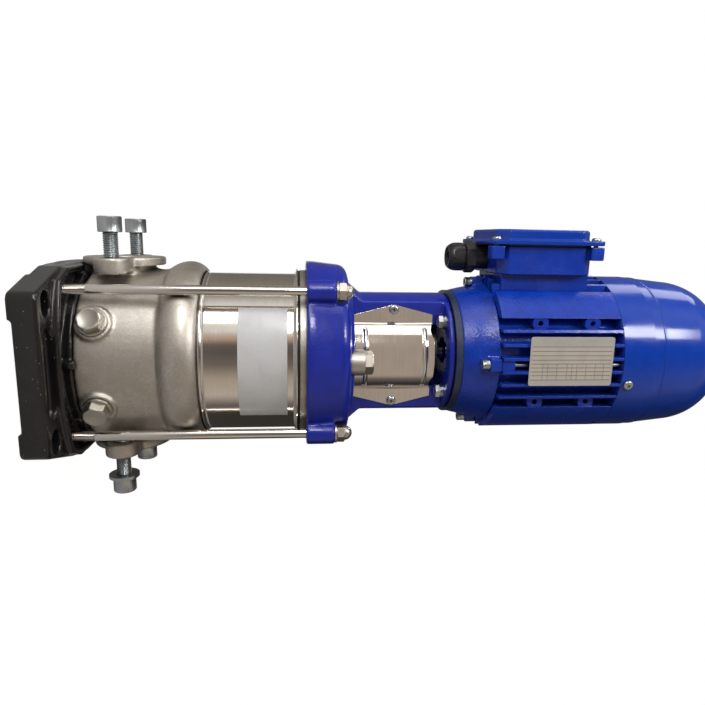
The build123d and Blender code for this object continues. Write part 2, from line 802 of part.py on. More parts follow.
with BuildPart() as head_cover:
    with BuildSketch(Plane.XY.offset(head_floor)):
        Circle(sleeve_bore_radius - seat_gap)
    extrude(amount=head_ring_level - head_floor)
    with BuildSketch(Plane.XY.offset(head_ring_level)):
        Circle(head_ring_radius)
    extrude(amount=head_ring_height)
    with BuildSketch(Plane.XY.offset(head_plate_top)):
        Circle(sleeve_bore_radius - seat_gap - cup_wall * 2)
        Circle(chamber_outer_radius, mode=Mode.SUBTRACT)
        with Locations((0, -vent_reach)):
            Circle(vent_boss_radius, mode=Mode.SUBTRACT)
    extrude(amount=stool_level - head_plate_top, mode=Mode.SUBTRACT)
    with BuildSketch(Plane.XY.offset(head_floor)):
        Circle(chamber_outer_radius)
    extrude(amount=chamber_roof - head_floor)
    with BuildSketch(Plane.XY.offset(head_plate_top)):
        with Locations((0, -vent_reach)):
            Circle(vent_boss_radius)
    extrude(amount=vent_boss_top - head_plate_top)
    with BuildSketch(Plane.XY.offset(stage_top)):
        Circle(cup_radius)
        Circle(cup_radius - 2 * cup_wall, mode=Mode.SUBTRACT)
        with PolarLocations(cup_radius, skirt_window_count):
            Rectangle(8 * cup_wall, 16 * cup_wall, mode=Mode.SUBTRACT)
    extrude(amount=head_floor - stage_top)
    with BuildSketch(Plane.XY.offset(head_floor)):
        Circle(shaft_radius * 1.5)
    extrude(amount=head_plate_thickness, mode=Mode.SUBTRACT)
    with BuildSketch(Plane.XY.offset(head_plate_top)):
        Circle(seal_chamber_radius)
    extrude(amount=chamber_roof - seal_roof_thickness - head_plate_top, mode=Mode.SUBTRACT)
    with BuildSketch(Plane.XY.offset(chamber_roof - seal_roof_thickness)):
        Circle(seat_bore_radius)
    extrude(amount=seal_roof_thickness, mode=Mode.SUBTRACT)
    with BuildSketch(Plane.XY.offset(head_floor)):
        with Locations((0, -vent_reach)):
            Circle(vent_plug_shank_radius + screw_gap)
    extrude(amount=vent_boss_top - head_floor, mode=Mode.SUBTRACT)
head_cover.part.label = "head_cover"
export_step(head_cover.part, "parts/head_cover.step")

# The stationary seat of the shaft seal
seat_level_top = chamber_roof - seal_roof_thickness

with BuildPart() as seal_seat:
    with BuildSketch(Plane.XY.offset(seat_level_top)):
        Circle(seal_seat_radius)
        Circle(shaft_radius + 2 * seat_gap, mode=Mode.SUBTRACT)
    extrude(amount=seal_roof_thickness)
    with BuildSketch(Plane.XY.offset(seat_level_top - cup_wall)):
        Circle(seal_ring_radius)
        Circle(shaft_radius + 2 * seat_gap, mode=Mode.SUBTRACT)
    extrude(amount=cup_wall)
seal_seat.part.label = "seal_seat"
export_step(seal_seat.part, "parts/seal_seat.step")

# The turning half of the shaft seal with its driving collar
seal_face_level = seat_level_top - cup_wall - fit_gap / 2

with BuildPart() as seal_rotor:
    with BuildSketch(Plane.XZ):
        with BuildLine():
            Polyline(
                (shaft_radius + fit_gap, seal_face_level),
                (seal_seat_radius, seal_face_level),
                (seal_seat_radius, seal_face_level - seal_ring_height / 3),
                (seal_ring_radius, seal_face_level - seal_ring_height / 3),
                (seal_ring_radius, seal_face_level - seal_ring_height),
                (shaft_radius + fit_gap, seal_face_level - seal_ring_height),
                close=True,
            )
        make_face()
    revolve(axis=Axis.Z)
seal_rotor.part.label = "seal_rotor"
export_step(seal_rotor.part, "parts/seal_rotor.step")

# The vent plug that stands in front of the coupling
with BuildPart() as vent_plug:
    with BuildSketch(Plane.XY.offset(vent_boss_top - 3 * vent_plug_height)):
        with Locations((0, -vent_reach)):
            Circle(vent_plug_shank_radius)
    extrude(amount=3 * vent_plug_height)
    with BuildSketch(Plane.XY.offset(vent_boss_top)):
        with Locations((0, -vent_reach)):
            RegularPolygon(vent_plug_flats / 2, 6, major_radius=False)
    extrude(amount=vent_plug_height)
    fillet(vent_plug.faces().sort_by(Axis.Z)[-1].edges(), radius=fit_gap * 8)
vent_plug.part.label = "vent_plug"
export_step(vent_plug.part, "parts/vent_plug.step")

# The motor stool, a painted casting with two coupling windows
half_guard_screw = guard_screw_offset
guard_screw_level = stool_level + guard_start + guard_length / 2
window_bottom = stool_level + window_start
window_top = window_bottom + window_height
nut_seat = stool_level + stool_nut_level
flange_bolt_spots = PolarLocations(motor_bolt_pcd / 2, 4, start_angle=45)

with BuildPart() as motor_stool:
    with BuildSketch(Plane.XZ):
        with BuildLine():
            Polyline(
                (stool_flange_upper_radius, stool_level + stool_flange_height - stool_shoulder_radius),
                (stool_flange_radius, stool_level + stool_edge_height),
                (stool_flange_radius, stool_level),
                (0, stool_level),
                (0, flange_level),
                (lantern_radius, flange_level),
                (lantern_radius, stool_level + stool_flange_height + stool_cone_height),
                (stool_cone_radius, stool_level + stool_flange_height),
                (stool_flange_upper_radius - stool_shoulder_radius, stool_level + stool_flange_height),
            )
            RadiusArc(
                (stool_flange_upper_radius - stool_shoulder_radius, stool_level + stool_flange_height),
                (stool_flange_upper_radius, stool_level + stool_flange_height - stool_shoulder_radius),
                stool_shoulder_radius,
            )
        make_face()
    revolve(axis=Axis.Z)
    with BuildSketch(Plane.XY.offset(stool_level)):
        with rod_spots:
            Circle(stool_lobe_radius)
    extrude(amount=stool_nut_level)
    with BuildSketch(Plane.XY.offset(nut_seat)):
        with rod_spots:
            Circle(stool_pocket_radius)
    extrude(amount=stool_flange_height, mode=Mode.SUBTRACT)
    with BuildSketch(Plane.XY.offset(stool_level)):
        Circle(chamber_outer_radius + seat_gap)
    extrude(amount=seal_chamber_height + seat_gap, mode=Mode.SUBTRACT)
    with BuildSketch(Plane.XY.offset(stool_level + seal_chamber_height + seat_gap)):
        Circle(coupling_radius)
    extrude(amount=window_start, mode=Mode.SUBTRACT)
    with BuildSketch(Plane.XY.offset(window_bottom)):
        Circle(lantern_inner_radius + seat_gap)
    extrude(amount=flange_level - window_bottom, mode=Mode.SUBTRACT)
    for side in (-1, 1):
        with BuildSketch(Plane.XZ.offset(side * lantern_flat)):
            with Locations((0, (window_bottom + window_top) / 2)):
                RectangleRounded(2 * lantern_radius + window_overrun, window_height, window_corner)
        extrude(amount=side * lantern_radius, mode=Mode.SUBTRACT)
    with BuildSketch(Plane.XY.offset(stool_level)):
        with Locations((0, -vent_reach)):
            Circle(vent_boss_radius + seat_gap)
    extrude(amount=2 * stool_flange_height, mode=Mode.SUBTRACT)
    with BuildSketch(Plane.XY.offset(stool_level)):
        with rod_spots:
            Circle(rod_radius + screw_gap)
    extrude(amount=stool_nut_level, mode=Mode.SUBTRACT)
    with BuildSketch(Plane.XY.offset(window_top)):
        with flange_bolt_spots:
            Circle(motor_bolt_radius + screw_gap)
    extrude(amount=flange_level - window_top, mode=Mode.SUBTRACT)
    for side in (-1, 1):
        with BuildSketch(Plane.XZ.offset(side * lantern_flat)):
            with Locations((-half_guard_screw, guard_screw_level), (half_guard_screw, guard_screw_level)):
                Circle(guard_screw_radius + screw_gap)
        extrude(amount=-side * guard_screw_depth, mode=Mode.SUBTRACT)
motor_stool.part.label = "motor_stool"
export_step(motor_stool.part, "parts/motor_stool.step")

# The tie rods with their washers and domed nuts
rod_bottom = foot_thickness - rod_depth_in_foot + seat_gap
rod_washer_top = nut_seat + rod_washer_thickness
rod_top = rod_washer_top + nut_hex_height

with BuildPart() as tie_rods:
    with BuildSketch(Plane.XY.offset(rod_bottom)):
        with rod_spots:
            Circle(rod_radius)
    extrude(amount=rod_top - rod_bottom)
tie_rods.part.label = "tie_rods"
export_step(tie_rods.part, "parts/tie_rods.step")

with BuildPart() as rod_washers:
    with BuildSketch(Plane.XY.offset(nut_seat)):
        with rod_spots:
            Circle(rod_washer_radius)
            Circle(rod_radius + screw_gap, mode=Mode.SUBTRACT)
    extrude(amount=rod_washer_thickness)
rod_washers.part.label = "rod_washers"
export_step(rod_washers.part, "parts/rod_washers.step")

with BuildPart() as domed_nuts:
    with BuildSketch(Plane.XY.offset(rod_washer_top)):
        with rod_spots:
            RegularPolygon(nut_across_flats / 2, 6, major_radius=False)
    extrude(amount=nut_hex_height)
    for angle in rod_angles:
        with Locations((*polar(rod_circle_radius, angle), rod_washer_top + nut_hex_height)):
            Sphere(nut_dome_radius, arc_size1=0, align=(Align.CENTER, Align.CENTER, Align.MIN))
    with BuildSketch(Plane.XY.offset(rod_washer_top)):
        with rod_spots:
            Circle(rod_radius + screw_gap)
    extrude(amount=nut_hex_height + nut_wall, mode=Mode.SUBTRACT)
domed_nuts.part.label = "domed_nuts"
export_step(domed_nuts.part, "parts/domed_nuts.step")

# The two polished sheet guards over the coupling, arched and with pointed flanges
guard_bottom = stool_level + guard_start
guard_middle = guard_bottom + guard_length / 2
guard_back = lantern_flat + fit_gap

with BuildPart() as coupling_guards:
    for side in (-1, 1):
        with BuildSketch(Plane.XY.offset(guard_bottom)):
            with BuildLine():
                Line((-guard_reach, side * guard_back), (-guard_half_width, side * guard_back))
                ThreePointArc(
                    (-guard_half_width, side * guard_back),
                    (0, side * (guard_back + guard_rise)),
                    (guard_half_width, side * guard_back),
                )
                Line((guard_half_width, side * guard_back), (guard_reach, side * guard_back))
                Line((guard_reach, side * guard_back), (guard_reach, side * (guard_back + guard_wall)))
                Line(
                    (guard_reach, side * (guard_back + guard_wall)),
                    (guard_half_width + guard_wall, side * (guard_back + guard_wall)),
                )
                ThreePointArc(
                    (guard_half_width + guard_wall, side * (guard_back + guard_wall)),
                    (0, side * (guard_back + guard_rise + guard_wall)),
                    (-guard_half_width - guard_wall, side * (guard_back + guard_wall)),
                )
                Line(
                    (-guard_half_width - guard_wall, side * (guard_back + guard_wall)),
                    (-guard_reach, side * (guard_back + guard_wall)),
                )
                Line((-guard_reach, side * (guard_back + guard_wall)), (-guard_reach, side * guard_back))
            make_face()
        extrude(amount=guard_length)
    with BuildSketch(Plane.XZ.offset(2 * lantern_radius)):
        with Locations((0, guard_middle)):
            Rectangle(4 * guard_reach, 2 * guard_length)
            Polygon(
                (-guard_end_reach, -guard_length / 2),
                (guard_end_reach, -guard_length / 2),
                (guard_reach, 0),
                (guard_end_reach, guard_length / 2),
                (-guard_end_reach, guard_length / 2),
                (-guard_reach, 0),
                align=None,
                mode=Mode.SUBTRACT,
            )
    extrude(amount=-4 * lantern_radius, mode=Mode.SUBTRACT)
    with BuildSketch(Plane.XZ.offset(2 * lantern_radius)):
        with GridLocations(2 * half_guard_screw, 0, 2, 1):
            with Locations((0, guard_middle)):
                Circle(guard_screw_radius + screw_gap)
    extrude(amount=-4 * lantern_radius, mode=Mode.SUBTRACT)
coupling_guards.part.label = "coupling_guards"
export_step(coupling_guards.part, "parts/coupling_guards.step")

with BuildPart() as guard_screws:
    for side in (-1, 1):
        head_plane = Plane.XZ.offset(side * (guard_back + guard_wall))
        with BuildSketch(head_plane):
            with Locations((-half_guard_screw, guard_middle), (half_guard_screw, guard_middle)):
                Circle(guard_screw_head_radius)
        extrude(amount=side * guard_screw_head_height)
        with BuildSketch(head_plane):
            with Locations((-half_guard_screw, guard_middle), (half_guard_screw, guard_middle)):
                Circle(guard_screw_radius)
        extrude(amount=-side * (guard_screw_depth + guard_wall - seat_gap))
guard_screws.part.label = "guard_screws"
export_step(guard_screws.part, "parts/guard_screws.step")

# The split coupling, two half shells clamped on both shaft ends

with BuildPart() as coupling_halves:
    with BuildSketch(Plane.XY.offset(coupling_bottom)):
        Circle(coupling_radius)
        Circle(shaft_radius + fit_gap, mode=Mode.SUBTRACT)
        Rectangle(coupling_split, 3 * coupling_radius, mode=Mode.SUBTRACT)
    extrude(amount=coupling_length / 2)
    with BuildSketch(Plane.XY.offset(coupling_middle)):
        Circle(coupling_radius)
        Circle(motor_shaft_radius + fit_gap, mode=Mode.SUBTRACT)
        Rectangle(coupling_split, 3 * coupling_radius, mode=Mode.SUBTRACT)
    extrude(amount=coupling_length / 2)
    for quarter in (-1, 1):
        with BuildSketch(Plane.YZ.offset(-coupling_radius)):
            with Locations((0, coupling_middle + quarter * coupling_length / 4)):
                with GridLocations(2 * coupling_screw_offset, 0, 2, 1):
                    Circle(coupling_screw_radius + screw_gap)
        extrude(amount=2 * coupling_radius, mode=Mode.SUBTRACT)
        with BuildSketch(Plane.YZ.offset(coupling_radius / 2)):
            with Locations((0, coupling_middle + quarter * coupling_length / 4)):
                with GridLocations(2 * coupling_screw_offset, 0, 2, 1):
                    Circle(coupling_screw_head_radius + screw_gap)
        extrude(amount=coupling_radius, mode=Mode.SUBTRACT)
coupling_halves.part.label = "coupling_halves"
export_step(coupling_halves.part, "parts/coupling_halves.step")

with BuildPart() as coupling_screws:
    for quarter in (-1, 1):
        with BuildSketch(Plane.YZ.offset(-coupling_radius / 2)):
            with Locations((0, coupling_middle + quarter * coupling_length / 4)):
                with GridLocations(2 * coupling_screw_offset, 0, 2, 1):
                    Circle(coupling_screw_radius)
        extrude(amount=coupling_radius)
        with BuildSketch(Plane.YZ.offset(coupling_radius / 2)):
            with Locations((0, coupling_middle + quarter * coupling_length / 4)):
                with GridLocations(2 * coupling_screw_offset, 0, 2, 1):
                    Circle(coupling_screw_head_radius)
        extrude(amount=coupling_radius / 5)
coupling_screws.part.label = "coupling_screws"
export_step(coupling_screws.part, "parts/coupling_screws.step")

# The spacer ring between the stool and the motor's face
with BuildPart() as flange_ring:
    with BuildSketch(Plane.XY.offset(flange_level)):
        Circle(flange_ring_radius)
        Circle(pilot_radius + seat_gap, mode=Mode.SUBTRACT)
        with flange_bolt_spots:
            Circle(motor_bolt_radius + screw_gap, mode=Mode.SUBTRACT)
    extrude(amount=flange_ring_thickness)
flange_ring.part.label = "flange_ring"
export_step(flange_ring.part, "parts/flange_ring.step")

# The motor's drive-end shield, with a lug for each long bolt
shield_floor_level = motor_level + shield_floor
bolt_head_level = frame_level - frame_lug_length
bearing_seat_radius = bearing_radius + running_gap

with BuildPart() as drive_end_shield:
    with BuildSketch(Plane.XZ):
        with BuildLine():
            Polyline(
                (shield_rim_radius, frame_level),
                (0, frame_level),
                (0, motor_level - pilot_height),
                (pilot_radius, motor_level - pilot_height),
                (pilot_radius, motor_level),
                (shield_root_radius, motor_level),
                (shield_root_radius + shield_flare, motor_level + shield_floor),
            )
            ThreePointArc(
                (shield_root_radius + shield_flare, motor_level + shield_floor),
                (shield_root_radius + shield_belly, frame_level - frame_lug_length),
                (shield_rim_radius, frame_level),
            )
        make_face()
    revolve(axis=Axis.Z)
    with BuildSketch(Plane.XY.offset(bolt_head_level)):
        with PolarLocations((shield_root_radius + frame_lug_reach) / 2, 4):
            Rectangle(frame_lug_reach - shield_root_radius, frame_lug_width)
    extrude(amount=frame_lug_length)
    with BuildSketch(Plane.XY.offset(shield_floor_level)):
        Circle(frame_bore_radius)
        Circle(bearing_radius + bearing_inner_wall, mode=Mode.SUBTRACT)
    extrude(amount=frame_level - shield_floor_level, mode=Mode.SUBTRACT)
    with BuildSketch(Plane.XY.offset(lower_bearing_level)):
        Circle(bearing_seat_radius)
    extrude(amount=shield_height, mode=Mode.SUBTRACT)
    with BuildSketch(Plane.XY.offset(motor_level - pilot_height)):
        Circle(bearing_bore_radius + bearing_inner_wall)
    extrude(amount=shield_height + pilot_height, mode=Mode.SUBTRACT)
    with BuildSketch(Plane.XY.offset(motor_level)):
        with flange_bolt_spots:
            Circle(motor_bolt_radius + screw_gap)
    extrude(amount=motor_bolt_depth, mode=Mode.SUBTRACT)
    with BuildSketch(Plane.XY.offset(bolt_head_level)):
        with PolarLocations(frame_bolt_circle, 4):
            Circle(frame_bolt_radius + screw_gap)
    extrude(amount=frame_lug_length, mode=Mode.SUBTRACT)
    with BuildSketch(Plane.XY.offset(bolt_head_level)):
        with PolarLocations(frame_bolt_circle, 4):
            Circle(frame_bolt_head_radius + screw_gap)
    extrude(amount=-frame_bolt_head_height - 2, mode=Mode.SUBTRACT)
drive_end_shield.part.label = "drive_end_shield"
export_step(drive_end_shield.part, "parts/drive_end_shield.step")

# Hexagon bolts and washers that hold the motor on the stool
motor_washer_level = window_top - motor_washer_thickness

with BuildPart() as motor_bolts:
    with BuildSketch(Plane.XY.offset(motor_washer_level - motor_bolt_head)):
        with flange_bolt_spots:
            RegularPolygon(motor_bolt_flats / 2, 6, major_radius=False)
    extrude(amount=motor_bolt_head)
    with BuildSketch(Plane.XY.offset(motor_washer_level)):
        with flange_bolt_spots:
            Circle(motor_bolt_radius)
    extrude(amount=motor_level + motor_bolt_depth - seat_gap - motor_washer_level)
motor_bolts.part.label = "motor_bolts"
export_step(motor_bolts.part, "parts/motor_bolts.step")

with BuildPart() as motor_washers:
    with BuildSketch(Plane.XY.offset(motor_washer_level)):
        with flange_bolt_spots:
            Circle(motor_washer_radius)
            Circle(motor_bolt_radius + screw_gap, mode=Mode.SUBTRACT)
    extrude(amount=motor_washer_thickness)
motor_washers.part.label = "motor_washers"
export_step(motor_washers.part, "parts/motor_washers.step")

# The finned motor frame, with mounting pads, bolt lugs and the terminal box's pedestal
fin_span = (fins_per_side - 1) * fin_pitch
corner_inner = fin_span / 2 - fin_thickness / 2
corner_side = fin_tip_radius - corner_inner
pad_reach = sqrt(fin_tip_radius**2 - (fin_span / 2) ** 2)

with BuildPart() as motor_frame:
    with BuildSketch(Plane.XY.offset(frame_level)):
        with GridLocations(fin_pitch, 0, fins_per_side, 1):
            Rectangle(fin_thickness, 2 * fin_tip_radius)
        with GridLocations(0, fin_pitch, 1, fins_per_side):
            Rectangle(2 * fin_tip_radius, fin_thickness)
        with GridLocations(2 * corner_inner + corner_side, 2 * corner_inner + corner_side, 2, 2):
            Rectangle(corner_side, corner_side)
        Circle(fin_tip_radius, mode=Mode.INTERSECT)
        Circle(frame_core_radius)
    extrude(amount=frame_length)
    with BuildSketch(Plane.XY.offset(frame_level)):
        with PolarLocations((frame_core_radius + frame_lug_reach) / 2 - 1, 4):
            Rectangle(frame_lug_reach - frame_core_radius + 2, frame_lug_width)
    extrude(amount=frame_lug_length)
    for level in foot_pad_levels:
        for side in (-1, 1):
            with BuildSketch(Plane.XZ.offset(side * (frame_core_radius - foot_pad_root))):
                with Locations((0, frame_level + level)):
                    with GridLocations(fin_span - fin_pitch, 0, 2, 1):
                        RectangleRounded(fin_pitch - fin_thickness / 2, foot_pad_width, fin_pitch / 3)
            extrude(amount=side * (pad_reach - frame_core_radius + foot_pad_root))
    with BuildSketch(Plane.YZ.offset(-box_floor_reach)):
        with Locations((0, frame_level + pedestal_start + pedestal_length / 2)):
            Rectangle(pedestal_width, pedestal_length)
    extrude(amount=box_floor_reach - frame_core_radius + pedestal_root)
    with BuildSketch(Plane.XY.offset(frame_level)):
        Circle(frame_bore_radius)
    extrude(amount=frame_length, mode=Mode.SUBTRACT)
    with BuildSketch(Plane.XY.offset(frame_level)):
        with PolarLocations(frame_bolt_circle, 4):
            Circle(frame_bolt_radius + screw_gap)
    extrude(amount=frame_length, mode=Mode.SUBTRACT)
    for level in foot_pad_levels:
        for side in (-1, 1):
            with BuildSketch(Plane.XZ.offset(side * (pad_reach - frame_lug_length))):
                with Locations((0, frame_level + level)):
                    with GridLocations(fin_span - fin_pitch, 0, 2, 1):
                        Circle(foot_pad_hole_radius)
            extrude(amount=side * 2 * frame_lug_length, mode=Mode.SUBTRACT)
motor_frame.part.label = "motor_frame"
export_step(motor_frame.part, "parts/motor_frame.step")

# The fan-end shield, which closes the frame under the fan cover
shield_edge_radius = cover_radius - cover_wall - seat_gap / 2
fan_shield_top = frame_top + fan_shield_height
bolt_end = frame_top + frame_bolt_depth
cover_screw_height = frame_top + cover_screw_level

with BuildPart() as fan_end_shield:
    with BuildSketch(Plane.XY.offset(frame_top)):
        Circle(shield_edge_radius)
    extrude(amount=fan_shield_height)
    with BuildSketch(Plane.XY.offset(frame_top + fan_shield_plate)):
        Circle(frame_core_radius)
        Circle(bearing_radius + bearing_inner_wall, mode=Mode.SUBTRACT)
    extrude(amount=fan_shield_height - fan_shield_plate, mode=Mode.SUBTRACT)
    with BuildSketch(Plane.XY.offset(upper_bearing_level)):
        Circle(bearing_radius + bearing_inner_wall)
    extrude(amount=frame_top - upper_bearing_level)
    with BuildSketch(Plane.XY.offset(upper_bearing_level)):
        Circle(bearing_seat_radius)
    extrude(amount=bearing_width, mode=Mode.SUBTRACT)
    with BuildSketch(Plane.XY.offset(upper_bearing_level)):
        Circle(bearing_bore_radius + bearing_inner_wall)
    extrude(amount=2 * shield_height, mode=Mode.SUBTRACT)
    with BuildSketch(Plane.XY.offset(frame_top)):
        with PolarLocations(frame_bolt_circle, 4):
            Circle(frame_bolt_radius + screw_gap)
    extrude(amount=frame_bolt_depth, mode=Mode.SUBTRACT)
    for turn in range(cover_screw_count):
        screw_angle = -90 + cover_screw_first + turn * 360 / cover_screw_count
        with BuildSketch(radial_plane(screw_angle, cover_screw_height, shield_edge_radius + 1)):
            Circle(cover_screw_radius + screw_gap)
        extrude(amount=-cover_screw_depth - 1, mode=Mode.SUBTRACT)
fan_end_shield.part.label = "fan_end_shield"
export_step(fan_end_shield.part, "parts/fan_end_shield.step")

# The four long bolts that clamp the shields on the frame
with BuildPart() as frame_bolts:
    with BuildSketch(Plane.XY.offset(bolt_head_level)):
        with PolarLocations(frame_bolt_circle, 4):
            Circle(frame_bolt_radius)
    extrude(amount=bolt_end - seat_gap - bolt_head_level)
    with BuildSketch(Plane.XY.offset(bolt_head_level - frame_bolt_head_height)):
        with PolarLocations(frame_bolt_circle, 4):
            Circle(frame_bolt_head_radius)
    extrude(amount=frame_bolt_head_height)
frame_bolts.part.label = "frame_bolts"
export_step(frame_bolts.part, "parts/frame_bolts.step")

# The stator's iron core and its windings
core_bottom = frame_level + (frame_length - stator_length) / 2
core_top = core_bottom + stator_length

with BuildPart() as stator_core:
    with BuildSketch(Plane.XY.offset(core_bottom)):
        Circle(frame_bore_radius - fit_gap)
        Circle(stator_bore_radius, mode=Mode.SUBTRACT)
    extrude(amount=stator_length)
stator_core.part.label = "stator_core"
export_step(stator_core.part, "parts/stator_core.step")

with BuildPart() as windings:
    for level in (core_bottom - winding_length, core_top):
        with BuildSketch(Plane.XY.offset(level)):
            Circle(winding_radius)
            Circle(winding_bore_radius, mode=Mode.SUBTRACT)
        extrude(amount=winding_length)
windings.part.label = "windings"
export_step(windings.part, "parts/windings.step")

# The sealed bearings, whose outer rings stay in the shields while the inner rings turn
bearing_levels = (lower_bearing_level, upper_bearing_level)
outer_ring_bore = bearing_radius - bearing_outer_wall
inner_ring_radius = outer_ring_bore - running_gap

with BuildPart() as bearing_outer_rings:
    for level in bearing_levels:
        with BuildSketch(Plane.XY.offset(level)):
            Circle(bearing_radius)
            Circle(outer_ring_bore, mode=Mode.SUBTRACT)
        extrude(amount=bearing_width)
bearing_outer_rings.part.label = "bearing_outer_rings"
export_step(bearing_outer_rings.part, "parts/bearing_outer_rings.step")

with BuildPart() as bearing_inner_rings:
    for level in bearing_levels:
        with BuildSketch(Plane.XY.offset(level)):
            Circle(inner_ring_radius)
            Circle(bearing_bore_radius, mode=Mode.SUBTRACT)
        extrude(amount=bearing_width)
bearing_inner_rings.part.label = "bearing_inner_rings"
export_step(bearing_inner_rings.part, "parts/bearing_inner_rings.step")

# The motor shaft with its shoulders, and the squirrel-cage rotor on it
shaft_clear_radius = bearing_bore_radius - fit_gap
fan_level = fan_shield_top + fan_gap
motor_shaft_bottom = coupling_middle + shaft_end_gap / 2

with BuildPart() as motor_shaft:
    with BuildSketch(Plane.XY.offset(motor_shaft_bottom)):
        Circle(motor_shaft_radius)
    extrude(amount=lower_bearing_level - motor_shaft_bottom)
    with BuildSketch(Plane.XY.offset(lower_bearing_level)):
        Circle(shaft_clear_radius)
    extrude(amount=upper_bearing_level + bearing_width - lower_bearing_level)
    with BuildSketch(Plane.XY.offset(upper_bearing_level + bearing_width)):
        Circle(fan_shaft_radius)
    extrude(amount=fan_level + fan_height - upper_bearing_level - bearing_width)
motor_shaft.part.label = "motor_shaft"
export_step(motor_shaft.part, "parts/motor_shaft.step")

with BuildPart() as rotor_core:
    with BuildSketch(Plane.XY.offset(core_bottom)):
        Circle(stator_bore_radius - air_gap)
        Circle(shaft_clear_radius + fit_gap, mode=Mode.SUBTRACT)
    extrude(amount=stator_length)
rotor_core.part.label = "rotor_core"
export_step(rotor_core.part, "parts/rotor_core.step")

# The cooling fan
with BuildPart() as fan:
    with BuildSketch(Plane.XY.offset(fan_level)):
        Circle(fan_radius)
    extrude(amount=fan_plate)
    with BuildSketch(Plane.XY.offset(fan_level)):
        Circle(fan_hub_radius)
        with PolarLocations((fan_radius + fan_hub_radius) / 2 - 1, fan_blade_count):
            Rectangle(fan_radius - fan_hub_radius, fan_plate)
    extrude(amount=fan_height)
    with BuildSketch(Plane.XY.offset(fan_level)):
        Circle(fan_shaft_radius + fit_gap)
    extrude(amount=fan_height, mode=Mode.SUBTRACT)
fan.part.label = "fan"
export_step(fan.part, "parts/fan.step")

# The pressed fan cover with its air grille
cover_level = frame_top + cover_overlap
taper_level = cover_level + cover_straight
shoulder_level = taper_level + cover_taper_length
crown_level = shoulder_level + cover_crown_height


def cover_section(inset):
    """Half the outline of the cover, set in from its outside, as a sketch on the XZ plane."""
    bow_radius = (cover_shoulder_radius + cover_crown_radius) / 2 + cover_bow / 2 - inset
    bow_level = (shoulder_level + crown_level) / 2 + cover_bow - inset
    with BuildSketch(Plane.XZ) as section:
        with BuildLine():
            Polyline(
                (0, cover_level),
                (cover_radius - inset, cover_level),
                (cover_radius - inset, taper_level),
                (cover_shoulder_radius - inset, shoulder_level),
            )
            ThreePointArc(
                (cover_shoulder_radius - inset, shoulder_level),
                (bow_radius, bow_level),
                (cover_crown_radius, crown_level - inset),
            )
            Polyline(
                (cover_crown_radius, crown_level - inset),
                (0, crown_level + cover_end_bulge - inset),
                (0, cover_level),
            )
        make_face()
    return section.sketch


cover_outside = cover_section(0)
cover_inside = cover_section(cover_wall)

with BuildPart() as fan_cover:
    revolve(cover_outside, axis=Axis.Z)
    revolve(cover_inside, axis=Axis.Z, mode=Mode.SUBTRACT)
    with BuildSketch(Plane.XY.offset(shoulder_level)):
        with PolarLocations((grille_slot_inner + grille_slot_outer) / 2, grille_slot_count):
            SlotOverall(grille_slot_outer - grille_slot_inner, grille_slot_width)
    extrude(amount=2 * cover_crown_height, mode=Mode.SUBTRACT)
    for turn in range(cover_screw_count):
        screw_angle = -90 + cover_screw_first + turn * 360 / cover_screw_count
        with BuildSketch(radial_plane(screw_angle, cover_screw_height, shield_edge_radius)):
            Circle(cover_screw_radius + screw_gap)
        extrude(amount=3 * cover_wall, mode=Mode.SUBTRACT)
fan_cover.part.label = "fan_cover"
export_step(fan_cover.part, "parts/fan_cover.step")

with BuildPart() as cover_screws:
    for turn in range(cover_screw_count):
        screw_angle = -90 + cover_screw_first + turn * 360 / cover_screw_count
        with BuildSketch(radial_plane(screw_angle, cover_screw_height, cover_radius + fit_gap)):
            Circle(cover_screw_head_radius)
        extrude(amount=cover_screw_head_height)
        with BuildSketch(radial_plane(screw_angle, cover_screw_height, cover_radius + fit_gap)):
            Circle(cover_screw_radius)
        extrude(amount=-(cover_screw_depth - seat_gap))
cover_screws.part.label = "cover_screws"
export_step(cover_screws.part, "parts/cover_screws.step")

# The terminal box on its pedestal
box_level = frame_level + box_start
box_middle = box_level + box_length / 2
lid_level = box_level - lid_overhang
lid_middle = lid_level + lid_length / 2
lid_screw_span_y = lid_width - 2 * lid_screw_inset
lid_screw_span_z = lid_length - 2 * lid_screw_inset
box_plane = Plane(origin=(0, 0, box_middle), x_dir=(0, 0, 1), z_dir=(-1, 0, 0))
lid_plane = Plane(origin=(0, 0, lid_middle), x_dir=(0, 0, 1), z_dir=(-1, 0, 0))
gland_plane = Plane(origin=(-gland_reach, 0, box_level), x_dir=(0, 1, 0), z_dir=(0, 0, -1))
gasket_top = box_top_reach + lid_gasket_thickness

